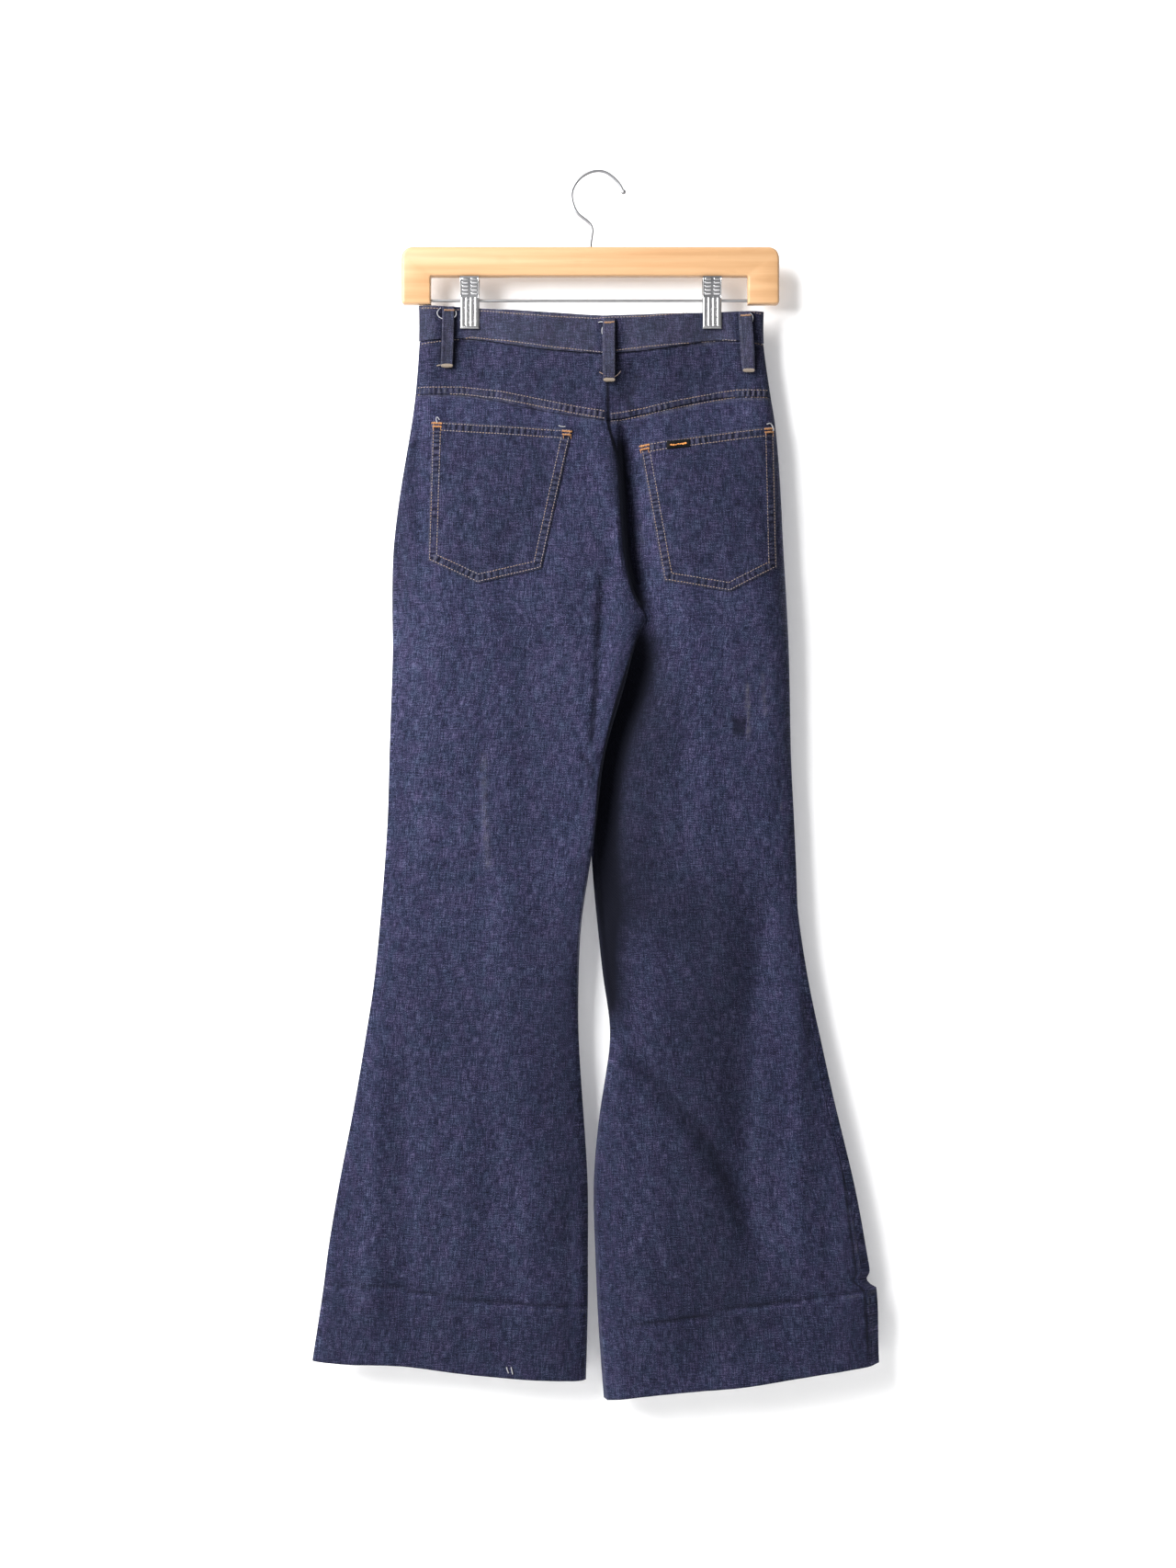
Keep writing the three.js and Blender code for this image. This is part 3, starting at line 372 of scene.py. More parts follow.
flyFolds = [
    # Whiskers under the front pockets
    fold([(16, -420), (-30, -398), (-84, -378), (-140, -372)], 3.0, 8, 10),
    fold([(20, -395), (-24, -366), (-70, -346)], -1.8, 8, 8, 0.3),
    fold([(52, -424), (96, -398), (160, -384)], 3.0, 9, 9),
    fold([(48, -386), (92, -356), (132, -350)], -1.8, 8, 8, 0.3),
    fold([(-60, -210), (-64, -262), (-58, -318)], 1.2, 10, 10, 0.3),
    fold([(66, -214), (72, -270), (66, -322)], 1.2, 10, 10, 0.3),
    # Thighs, knees and flares
    fold([(-14, -470), (-44, -540), (-58, -640)], 2.6, 14, 12),
    fold([(70, -470), (74, -560), (70, -680)], 2.4, 12, 14),
    fold([(-96, -520), (-108, -660), (-120, -800), (-136, -980)], 2.2, 18, 14, 0.2),
    fold([(118, -560), (122, -720), (138, -900), (158, -1090)], 2.4, 14, 18, 0.2),
    fold([(-60, -830), (-100, -850), (-160, -846)], 1.6, 8, 10, 0.3),
    fold([(40, -842), (96, -866), (150, -858)], 1.8, 8, 10, 0.3),
    fold([(-180, -950), (-198, -1060), (-206, -1200)], 2.6, 12, 16, 0.2),
    fold([(-84, -960), (-92, -1080), (-96, -1190)], -2.0, 14, 14, 0.3),
    fold([(72, -980), (86, -1090), (92, -1200)], -2.0, 14, 14, 0.3),
    fold([(206, -990), (220, -1090), (226, -1190)], 2.2, 12, 12, 0.2),
]


def foldDepth(folds, x, z):
    depth = np.zeros(x.shape)
    for each in folds:
        away, side, along, length = pathDistance(x, z, each["path"])
        wide = np.where(side > 0, each["right"], each["left"])
        fade = each["fade"] * length
        ends = smooth(along / fade) * smooth((length - along) / fade)
        depth += each["deep"] * ends * np.exp(-0.9 * (away / wide) ** 2)
    return depth


# Waves of about one length (mm) and height 1, running every way over (x, z)
def waves(x, z, length, seed, count=14):
    pick = random.Random(seed)
    total = np.zeros(x.shape)
    for _ in range(count):
        turn, phase = pick.uniform(0, math.pi), pick.uniform(0, 2 * math.pi)
        pace = 2 * math.pi / (length * pick.uniform(0.65, 1.7))
        total += np.sin((x * math.cos(turn) + z * math.sin(turn)) * pace + phase)
    return total / math.sqrt(count / 2)


# ---- where the seams run, in mm ----
seams = {
    "bandBottom": [(-176, -175), (-154, -172), (-124, -168.5), (-89, -173), (-43, -179.5), (7, -185),
                   (50, -179.5), (110, -173), (131, -171), (152, -173), (173, -176)],
    "yokeLeft": [(-180, -218), (-136, -218), (-99, -222.5), (-61, -230), (-24, -237.5), (9, -243)],
    "yokeRight": [(15, -245.5), (50, -240), (87, -231), (125, -223.5), (143, -221), (176, -221)],
    "openingLeft": [(-97, -194), (-101, -200), (-110.6, -215), (-126.3, -230), (-157.4, -245), (-183, -254)],
    "openingRight": [(90, -194), (93.7, -200), (103.3, -215), (118.8, -230), (145.7, -245), (179, -254)],
    "hemLeft": [(-276, -1123), (-203, -1127), (-142, -1136.5), (-28, -1147.5), (-6, -1149)],
    "hemRight": [(2, -1166), (86, -1158), (173, -1142), (233, -1136.5), (282, -1129)],
}
rowsApart = 7.2  # the two rows of a felled seam
yokeSeed, pocketSeed = {"left": 3, "right": 4}, {"left": 31, "right": 32}  # each seam's own puckers
crotchZ = -440


def seamOf(kind, leg):
    return seams[kind + leg.capitalize()]


def pathHeight(path, x):
    xs, zs = zip(*path)
    return np.interp(x, xs, zs)


def shifted(path, dx, dz):
    return [(x + dx, z + dz) for x, z in path]


# The legs' edges by height, cut across the seat panels
def edgesOf(node):
    low, high = (np.array(corner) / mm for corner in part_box(node))
    heights = np.arange(low[2] + 46, high[2] - 2, 24.0)
    ends = []
    for z in heights:
        cut = bmesh.new()
        cut.from_mesh(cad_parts[node].data)
        whole = list(cut.verts) + list(cut.edges) + list(cut.faces)
        at = (0, 0, z * mm)
        made = bmesh.ops.bisect_plane(cut, geom=whole, plane_co=at, plane_no=(0, 0, 1))["geom_cut"]
        xs = [v.co.x / mm for v in made if isinstance(v, bmesh.types.BMVert)]
        ends.append((min(xs), max(xs)))
        cut.free()
    ends = np.array(ends)
    below = ends[0] + (ends[0] - ends[1]) * 2.5  # the leg's edges run on straight down to its slanting hem
    heights, ends = np.append(heights[0] - 60, heights), np.vstack([below, ends])
    return heights, ends[:, 0], ends[:, 1]


edges = {leg: edgesOf("back_" + leg) for leg in ("left", "right")}


# (side seam, inner edge) of a leg at heights z
def legEdges(leg, z):
    heights, low, high = edges[leg]
    low, high = np.interp(z, heights, low), np.interp(z, heights, high)
    return (low, high) if leg == "left" else (high, low)


# How far each place of a leg lies in from the nearest edge that both layers share
def inFromEdges(leg, x, z):
    side, inner = legEdges(leg, z)
    return np.minimum(np.abs(x - side), np.where(z < crotchZ, np.abs(x - inner), 1e3))


cloth = {"edgeFade": 9.0, "topFadeFrom": -186, "topFade": 12, "broad": 0.8, "small": 0.16, "hemProud": 1.2,
         "hemWave": 0.5, "yokeSink": 1.2, "ridge": 0.5, "pucker": 0.6, "puckerLength": 5.6}
layerSeed = {"seat": 11, "fly": 57}


# Under the crotch the left leg lies over the right one: its edge stands up and the right leg falls back
cross = {"from": -458, "to": -900, "edge": 7.0, "recess": 9.0}


# Ripples across a sewn band of two rows: along is the place on the seam, off the distance from its middle
def ripples(along, off, wide, seed):
    jitter = waves(along, along * 0, 45, seed, 6)
    wave = np.sin(2 * math.pi * along / cloth["puckerLength"] + 1.6 * jitter)
    return wave * (0.65 + 0.35 * waves(along, along * 0, 30, seed + 9, 5)) * bell(off, wide)


# The pale rungs that wear leaves on the crests of a rippled band, and painted shade in the troughs between
# them
def rungs(along, off, wide, seed):
    wave = ripples(along, off, wide, seed)
    return np.where(wave > 0, 0.42, 0.75) * wave + 0.1 * np.exp(-((off / wide) ** 4))


# How far places of a leg's layer move into the trousers, in mm
def clothDepth(layer, leg, x, z):
    folds = foldDepth(seatFolds if layer == "seat" else flyFolds, x, z)
    seed = layerSeed[layer]
    uneven = cloth["broad"] * waves(x, z, 95, seed) + cloth["small"] * waves(x, z, 19, seed + 1)
    fade = smooth(inFromEdges(leg, x, z) / cloth["edgeFade"])
    fade = fade * smooth((cloth["topFadeFrom"] - z) / cloth["topFade"])
    depth = (folds + uneven) * fade
    inner = np.abs(x - legEdges(leg, z)[1])
    window = smooth((cross["from"] - z) / 34) * smooth((z - cross["to"]) / 170)
    if leg == "right":
        back = cross["recess"] * window * smooth(inner / 8) * bell(inner - 20, 24)
        depth += back if layer == "seat" else -back
    elif layer == "seat":
        depth -= cross["edge"] * window * smooth(inner / 2.2) * bell(inner - 2, 30)
    under = pathHeight(seamOf("hem", leg), x) - z
    step = 0.7 * bell(under + 3, 4.0) - cloth["hemProud"] * smooth(under / 3.2 + 0.5)
    depth += step * smooth(inFromEdges(leg, x, z) / 4)
    depth += cloth["hemWave"] * waves(x, z, 46, seed + 2) * bell(under, 26) * fade
    return depth


# Yoke and seat panels also follow their felled seam: the yoke laps over and its two rows pucker it
def yokeDepth(part, leg, x, z):
    path = seamOf("yoke", leg)
    away, _, along, _ = pathDistance(x, z, shifted(path, 0, -rowsApart / 2))
    above = np.where(z > pathHeight(path, x) - rowsApart / 2, away, -away)
    if part == "yoke":
        top = pathHeight(seams["bandBottom"], x) - z
        lap = -cloth["ridge"] * bell(away, 4.6) + cloth["yokeSink"] * bell(top, 5)
        rows = 0.3 * bell(away - rowsApart / 2, 0.9)
        return lap + rows - cloth["pucker"] * ripples(along, away, 5.2, yokeSeed[leg])
    sunk = cloth["yokeSink"] * smooth(1 - (-above - 4.2) / 7)
    return sunk - 0.6 * cloth["pucker"] * ripples(along, away, 7, yokeSeed[leg])


# The middle line of a belt loop: its slope and place (x = middle + slope * z), its lowest and highest z
def loopLine(node):
    places = np.array([v.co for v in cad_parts[node].data.vertices]) / mm
    slope, middle = np.polyfit(places[:, 2], places[:, 0], 1)
    return slope, middle, places[:, 2].min(), places[:, 2].max()


# Painted shadow on the cloth beside a belt loop, wider on its right
def loopShade(node):
    slope, middle, low, high = loopLine(node)
    return fold([(middle + slope * z, z) for z in (high, low)], 1.1, 7.5, 9, 0.02)


outseam = [(223, -857), (241, -941), (260, -1090), (267, -1136), (275.7, -1201)]

# Paths along which the indigo has rubbed pale: (path, width in mm, amount)
wearLines = [
    (shifted(seams["yokeLeft"], 0, -rowsApart - 1), 1.6, 0.55),
    (shifted(seams["yokeRight"], 0, -rowsApart - 1), 1.6, 0.55),
    (seams["bandBottom"], 1.8, 0.35),
    ([(-176, -136.5), (-108, -140), (-80, -143.8), (-43, -146.6), (0, -148.6), (50, -146.6), (78, -143.8),
      (106, -141), (143, -140), (171, -142.6)], 1.8, 0.5),
    (shifted(seams["hemLeft"], 0, -1), 1.7, 0.45), (shifted(seams["hemRight"], 0, -1), 1.7, 0.45),
    (shifted(outseam, 3.4, 0), 1.6, 0.4),
    ([(-112, -590), (-112, -640), (-108, -704)], 3.0, 0.4),
    ([(35, -268), (39, -327), (47, -375)], 3.0, 0.2),
    ([(152.5, -518), (153.6, -548), (153.6, -574)], 1.6, 0.8), ([(168, -508), (171, -548)], 1.6, 0.5),
    ([(187, -639), (187.6, -642)], 1.2, 0.6), ([(29, -848), (29.6, -853)], 0.9, 0.7),
    ([(82, -874), (82.5, -876)], 0.8, 0.6), ([(37, -898), (38, -902)], 0.8, 0.6),
]

flyWearLines = [
    (shifted(seams["hemLeft"], 0, -1), 1.7, 0.45), (shifted(seams["hemRight"], 0, -1), 1.7, 0.45),
    ([(-120, -600), (-122, -660), (-118, -716)], 5.0, 0.25),
    ([(126, -610), (130, -670), (128, -722)], 5.0, 0.22),
]

# Painted shade, where the cloth is darkened because shade falls there: in seams, creases and recesses, beside
# loops and under edges. Folds whose depth is the amount
shades = [
    fold([(12.7, -212), (12.9, -240), (13.4, -260), (18, -272), (25, -296)], 0.9, 1.2, 1.2, 0.05),
    fold([(23, -264), (24, -285), (26.5, -345), (29, -385), (37, -423), (49, -450)], 1.2, 1.2, 9.5, 0.08),
    fold([(14, -262), (18, -300), (22, -345)], 0.4, 6, 8, 0.25),
    fold([(47, -196), (40, -215), (34, -232), (39, -249), (44, -268)], 0.5, 5, 5, 0.2),
    fold([(47, -438), (46, -455), (41, -476), (22, -532), (11, -578), (3.7, -616), (-0.9, -699), (-2, -780),
          (0, -885)], 1.45, 1.4, 27, 0.12),
    fold([(68, -478), (64, -520), (60, -580), (52, -660), (36, -800)], 0.42, 24, 30, 0.2),
    fold([(6, -410), (3.3, -474), (2, -516), (-1, -555), (-5, -592)], 0.45, 2.4, 1.6, 0.15),
    fold([(-16, -586), (-9, -596), (-3, -603), (4, -614)], 0.5, 1.8, 1.8, 0.2),
    # A small dark square mark on the cloth of the right thigh, drawn as three bands
    *[fold([(136.7, z), (152.4, z)], 0.6, 3.8, 3.8, 0.03) for z in (-554, -560.5, -567)],
    fold([(26, -884), (62, -922), (110, -976), (152, -1050)], 0.25, 6, 9, 0.2),
    fold(shifted(seams["hemLeft"], 0, 2), 0.5, 1.8, 1.8, 0.02),
    fold(shifted(seams["hemRight"], 0, 2), 0.5, 1.8, 1.8, 0.02),
    fold(outseam, 0.9, 1.4, 1.4, 0.05),
    # Broad painted shade: darker along the left hip's edge, over the lower legs and at both hems
    fold([(-184, -240), (-196, -330), (-206, -460)], 0.3, 14, 20, 0.2),
    fold([(-46, -700), (-40, -900), (-28, -1140)], 0.28, 30, 40, 0.2),
    fold([(112, -640), (118, -900), (124, -1230)], 0.47, 70, 60, 0.2),
    fold([(-120, -760), (-150, -900), (-170, -1239)], 0.14, 90, 90, 0.2),
    fold([(-280, -1180), (-10, -1200)], 0.2, 60, 60, 0.05),
    fold([(20, -1200), (280, -1170)], 0.18, 60, 60, 0.05),
    *[loopShade("belt_loop_seat_" + at) for at in ("left", "middle", "right")],
]


# Pale wear along the wear lines, less the painted shade on the seat side
def wearAndShadeAmount(x, z, layer="seat"):
    worn = np.zeros(x.shape)
    for path, wide, amount in wearLines if layer == "seat" else flyWearLines:
        away = pathDistance(x, z, path)[0]
        worn += amount * bell(away, wide) * (0.7 + 0.3 * waves(x, z, 16, 5, 6))
    return worn - foldDepth(shades, x, z) if layer == "seat" else worn


print("folds and seams set:", len(seatFolds) + len(flyFolds), "folds")


# A CAD node's mesh welded into quads
def weldedCopy(node):
    bm = bmesh.new()
    bm.from_mesh(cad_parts[node].data)
    bmesh.ops.remove_doubles(bm, verts=bm.verts, dist=0.02 * mm)
    wide = math.radians(60)
    bmesh.ops.join_triangles(bm, faces=bm.faces, angle_face_threshold=wide, angle_shape_threshold=wide)
    return bm


def meshObject(mesh, name, material, smoothed=True):
    made = bpy.data.objects.new(name, mesh)
    scene.collection.objects.link(made)
    mesh.materials.clear()
    mesh.materials.append(material)
    mesh.polygons.foreach_set("use_smooth", [smoothed] * len(mesh.polygons))
    return made


def objectFrom(bm, name, material, smoothed=True):
    mesh = bpy.data.meshes.new(name)
    bm.to_mesh(mesh)
    bm.free()
    return meshObject(mesh, name, material, smoothed)


def evaluatedMesh(piece):
    return bpy.data.meshes.new_from_object(piece.evaluated_get(bpy.context.evaluated_depsgraph_get()))


# Applies an object's modifiers to its mesh
def settle(piece):
    mesh = evaluatedMesh(piece)
    mesh.name = piece.name
    piece.modifiers.clear()
    piece.data = mesh
    return piece


def sharpEdges(bm, degrees):
    return [e for e in bm.edges if len(e.link_faces) == 2 and e.calc_face_angle(0) > math.radians(degrees)]


# Rounds a welded piece, keeping its edges that are sharper than sharp degrees
def subdivide(piece, levels, sharp=38):
    bm = bmesh.new()
    bm.from_mesh(piece.data)
    crease = bm.edges.layers.float.new("crease_edge")
    for edge in sharpEdges(bm, sharp):
        edge[crease] = 1.0
    bm.to_mesh(piece.data)
    bm.free()
    modifier = piece.modifiers.new("rounder", "SUBSURF")
    modifier.levels = modifier.render_levels = levels
    return settle(piece)


def placesOf(piece):
    places = np.empty(len(piece.data.vertices) * 3)
    piece.data.vertices.foreach_get("co", places)
    return places.reshape(-1, 3) / mm


def setPlaces(piece, places):
    piece.data.vertices.foreach_set("co", (places * mm).ravel())
    piece.data.update()


# The cloth's own map, in metres: u across the cloth and v along its warp. It starts on the leg's middle line
# and follows the cloth round the leg's sides
def clothMap(piece, leg=None, worn=None):
    places = placesOf(piece)
    x, y, z = places.T
    if leg:
        side, inner = legEdges(leg, np.minimum(z, crotchZ))
        middle = (side + inner) / 2
        off = np.abs(x - middle) / (np.abs(side - inner) / 2)
        inside = (x - middle) * (inner - middle) > 0
        turns = smooth((off - 0.82) / 0.18) * np.where(inside, smooth((crotchZ - z) / 40), 1)
        u = x - middle + np.sign(x - middle) * np.abs(y) * turns
        v = z
    else:
        u, v = x, z
    uv = np.column_stack([u, v]) * mm
    layer = piece.data.uv_layers.new(name="cloth")
    corners = np.empty(len(piece.data.loops), dtype=np.int32)
    piece.data.loops.foreach_get("vertex_index", corners)
    layer.data.foreach_set("uv", uv[corners].ravel())
    # The worn attribute: wear above 0, painted shade below 0
    amount = wearAndShadeAmount(x, z) if worn is None else worn
    attribute = piece.data.attributes.new("worn", "FLOAT", "POINT")
    attribute.data.foreach_set("value", np.clip(amount, -1, 1).astype(np.float32))


def removeMaps(piece):
    for layer in list(piece.data.uv_layers):
        piece.data.uv_layers.remove(layer)


def clothPiece(node, levels, material):
    piece = objectFrom(weldedCopy(node), node + "Cloth", material)
    removeMaps(piece)
    return subdivide(piece, levels)


def finish(piece, slot, *nodes):
    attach(piece, "root")
    if nodes:
        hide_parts(*nodes)
    return piece


# ---- leg panels and yokes ----
# The legs' own outline: the crotch point closes, the left hem lifts at its outer half, and the right one juts
# out under its notch
def shapeOutline(places, leg):
    x, _, z = places.T
    if leg == "left":
        places[:, 0] += 3.2 * np.exp(-(((x - 47) / 8) ** 2) - ((z + 450) / 9) ** 2)
        places[:, 2] += 4.5 * bell(x + 195, 48) * smooth((-1150 - z) / 70)
    else:
        places[:, 2] -= 2.5 * bell(x - 150, 50) * smooth((-1150 - z) / 70)
        notch = -4.5 * bell(z + 1119, 5) + 4.5 * smooth((-1123 - z) / 4) * smooth((z + 1215) / 90)
        places[:, 0] += notch * smooth((x - 236) / 24)


def makePanel(part, layer, leg, levels):
    node = part + "_" + leg
    piece = clothPiece(node, levels, materials["yoke" if part == "yoke" else "denim"])
    places = placesOf(piece)
    x, z = places[:, 0], places[:, 2]
    depth = clothDepth(layer, leg, x, z)
    if part in ("yoke", "back"):
        depth += yokeDepth(part, leg, x, z)
    places[:, 1] += depth if layer == "seat" else -depth
    worn = wearAndShadeAmount(x, z, layer)
    shapeOutline(places, leg)
    x, _, z = places.T
    setPlaces(piece, places)
    if part == "yoke":
        # On the yoke: pale wear on the puckers' crests, painted shade in their troughs
        away, _, along, _ = pathDistance(x, z, shifted(seamOf("yoke", leg), 0, -rowsApart / 2))
        worn += 1.7 * rungs(along, away, 3.4, yokeSeed[leg])
    clothMap(piece, leg, worn)
    return finish(piece, "denim", node)


panels = {}
for leg in ("left", "right"):
    panels["yoke_" + leg] = makePanel("yoke", "seat", leg, 4)
    panels["back_" + leg] = makePanel("back", "seat", leg, 3)
    panels["front_" + leg] = makePanel("front", "fly", leg, 3)
    panels["facing_" + leg] = makePanel("pocket_facing", "fly", leg, 3)
print("panels made:", len(panels))


def makeBand():
    piece = clothPiece("waistband", 3, materials["band"])
    places = placesOf(piece)
    x, y, z = places.T
    out = np.sign(y) * smooth(np.abs(y) / 4)
    up = z - pathHeight(seams["bandBottom"], x)
    roll = 0.5 * bell(up, 3.2) + 0.4 * waves(x, z, 60, 21) * smooth(up / 8)
    row = -0.3 * bell(up - 1.2, 0.9)
    places[:, 1] += out * (roll + row + 0.12 * waves(x, z, 14, 22))
    setPlaces(piece, places)
    clothMap(piece)
    return finish(piece, "denim", "waistband")


band = makeBand()
flyBandRows = [
    [(-172, -189), (-100, -193), (-40, -194), (10, -194.5), (60, -194), (110, -192.5), (168, -190)],
    [(-172, -138.5), (-100, -139.5), (-40, -140), (10, -140), (60, -140), (110, -140), (168, -143)],
]


# ---- the cloth's surface, for everything sewn onto it ----
def treeOf(pieces):
    bm = bmesh.new()
    for piece in pieces:
        bm.from_mesh(piece.data)
    tree = BVHTree.FromBMesh(bm)
    bm.free()
    return tree


# Where a pin pushed straight in at (x, z) mm meets the cloth, from the seat's side (-1) or the fly's (+1)
def pin(tree, side, x, z):
    place, facing, _, _ = tree.ray_cast(Vector((x * mm, side * 0.2, z * mm)), Vector((0, -side, 0)), 0.25)
    return (place, facing) if place else (None, None)


layerSides = {"seat": -1, "fly": 1}
layerPanels = {"seat": ("yoke", "back"), "fly": ("front", "facing")}


# A layer's surface with more pieces on it, and the side that it faces
def surfaceWith(layer, *more):
    under = [piece for name, piece in panels.items() if name.startswith(layerPanels[layer])]
    return treeOf([band, *more, *under]), layerSides[layer]


surfaces = {layer: surfaceWith(layer) for layer in layerSides}


# Depths (y in mm) of a surface at arrays of places, with misses taken from their neighbours
def surfaceY(surface, x, z):
    tree, side = surface
    found = np.empty(x.shape)
    last = side * 6.0
    for i, (px, pz) in enumerate(zip(x.ravel(), z.ravel())):
        place, _ = pin(tree, side, px, pz)
        last = place.y / mm if place else last
        found.flat[i] = last
    return found


# Places every pitch mm along a path, as (x, z, direction)
def evenly(path, pitch, startAt=0.5):
    need = pitch * startAt
    for (x0, z0), (x1, z1) in zip(path, path[1:]):
        span = math.hypot(x1 - x0, z1 - z0)
        while need <= span:
            t = need / span
            yield x0 + t * (x1 - x0), z0 + t * (z1 - z0), math.atan2(z1 - z0, x1 - x0)
            need += pitch
        need -= span


# A path moved sideways by off mm, to its right as it runs
def beside(path, off):
    moved = []
    for i, (x, z) in enumerate(path):
        (x0, z0), (x1, z1) = path[max(i - 1, 0)], path[min(i + 1, len(path) - 1)]
        span = math.hypot(x1 - x0, z1 - z0)
        moved.append((x + off * (z1 - z0) / span, z - off * (x1 - x0) / span))
    return moved


stitch = {"pitch": 3.0, "long": 2.6, "wide": 0.95, "high": 0.6, "above": 0.15}


# One thread lying on a surface, centred at (x, z) mm and turned by angle: its matrix is added to a list
def layThread(threads, surface, x, z, angle, long, wide, high, above):
    tree, side = surface
    reach = long * 0.4
    ways = (-reach, reach)
    ends = [pin(tree, side, x + way * math.cos(angle), z + way * math.sin(angle))[0] for way in ways]
    place, facing = pin(tree, side, x, z)
    if not place or not all(ends) or abs(facing.y) < 0.12:
        return
    along = (ends[1] - ends[0]).normalized()
    across = facing.cross(along).normalized()
    up = along.cross(across)
    turn = Matrix((along, across, up)).transposed().to_4x4()
    middle = (ends[0] + ends[1]) * 0.25 + place * 0.5 + up * above * mm
    size = Matrix.Diagonal((long / 2 * mm, wide / 2 * mm, high / 2 * mm, 1))
    threads.append(Matrix.Translation(middle) @ turn @ size)


# Adds a bmesh to a larger one and frees it
def pour(part, whole):
    spare = bpy.data.meshes.new("spare")
    part.to_mesh(spare)
    part.free()
    whole.from_mesh(spare)
    bpy.data.meshes.remove(spare)


# A piece of many threads, made a few at a time
def threadPiece(name, threads, material):
    whole = bmesh.new()
    for start in range(0, len(threads), 40):
        few = bmesh.new()
        for matrix in threads[start:start + 40]:
            bmesh.ops.create_uvsphere(few, u_segments=6, v_segments=4, radius=1, matrix=matrix)
        pour(few, whole)
    return objectFrom(whole, name, materials[material])


def sewRow(threads, surface, path, seed, pitch=stitch["pitch"], wide=stitch["wide"]):
    pick = random.Random(seed)
    for x, z, angle in evenly(path, pitch):
        turn = angle + pick.uniform(-0.09, 0.09)
        long = stitch["long"] * pitch / stitch["pitch"] * pick.uniform(0.9, 1.06)
        x, z = x + pick.uniform(-0.12, 0.12), z + pick.uniform(-0.12, 0.12)
        layThread(threads, surface, x, z, turn, long, wide, stitch["high"], stitch["above"])


# A bar tack: threads side by side across a band. wide runs along angle
def sewTack(threads, surface, x, z, wide, tall, seed, angle=0.0, above=0.35):
    pick = random.Random(seed)
    count = round(wide / 0.62)
    for i in range(count):
        off = (i / (count - 1) - 0.5) * wide
        px = x + off * math.cos(angle) + pick.uniform(-0.12, 0.12)
        pz = z + off * math.sin(angle) + pick.uniform(-0.2, 0.2)
        lean = angle + math.pi / 2 + (0.16 if i % 2 else -0.16)
        layThread(threads, surface, px, pz, lean, tall * pick.uniform(0.92, 1.08), 0.72, 0.85, above)


# A loose thread end: a thin tube along places (x, z, out from the cloth) in mm
def looseThread(name, surface, places, thick, material):
    tree, side = surface
    curve = bpy.data.curves.new(name, "CURVE")
    curve.dimensions = "3D"
    curve.bevel_depth = thick / 2 * mm
    curve.bevel_resolution = 1
    curve.resolution_u = 5
    spline = curve.splines.new("NURBS")
    spline.points.add(len(places) - 1)
    spline.order_u = 3
    spline.use_endpoint_u = True
    for point, (x, z, out) in zip(spline.points, places):
        place, _ = pin(tree, side, x, z)
        y = place.y if place else side * 6 * mm
        point.co = (x * mm, y + side * out * mm, z * mm, 1)
    curve.use_fill_caps = True
    holder = bpy.data.objects.new(name, curve)
    scene.collection.objects.link(holder)
    mesh = evaluatedMesh(holder)
    bpy.data.objects.remove(holder)
    finish(meshObject(mesh, name, material), "denim")


# ---- seat pockets ----
pockets = {
    "left": [(-164.6, -253), (-23.3, -262.3), (-53.9, -402.7), (-118.1, -417.6), (-168.3, -394.3)],
    "right": [(44.6, -276.2), (180.5, -257.8), (183.5, -400.8), (134.9, -425.9), (68.8, -414.8)],
}
pocketMake = {"step": 1.9, "thick": 0.9, "lift": 1.5, "rowIn": 1.9, "rowsApart": 7.0, "gape": 1.6,
              "allowance": 0.5, "pucker": 0.5}


# Columns from 0 to 1, close together at both ends so that the edge can roll over
def edgeRings(wide):
    rings = np.array([0, 0.35, 0.9, 1.7]) / wide
    count = round(wide / pocketMake["step"])
    return np.concatenate([rings, np.linspace(rings[-1], 1 - rings[-1], count)[1:-1], 1 - rings[::-1]])


# A grid of places by their shares (0 to 1) across and down
def gridOf(across, down):
    bm = bmesh.new()
    bmesh.ops.create_grid(bm, x_segments=across, y_segments=down, size=0.5)
    return bm, *np.array([(v.co.x + 0.5, 0.5 - v.co.y) for v in bm.verts]).T


# A grid moved to its places in mm and given a thickness
def thickSheet(bm, x, y, z, name, material, thick):
    for v, place in zip(bm.verts, np.column_stack([x, y, z]) * mm):
        v.co = place
    piece = objectFrom(bm, name, materials[material])
    wall = piece.modifiers.new("thickness", "SOLIDIFY")
    wall.thickness = thick * mm
    wall.offset = -1
    return settle(piece)


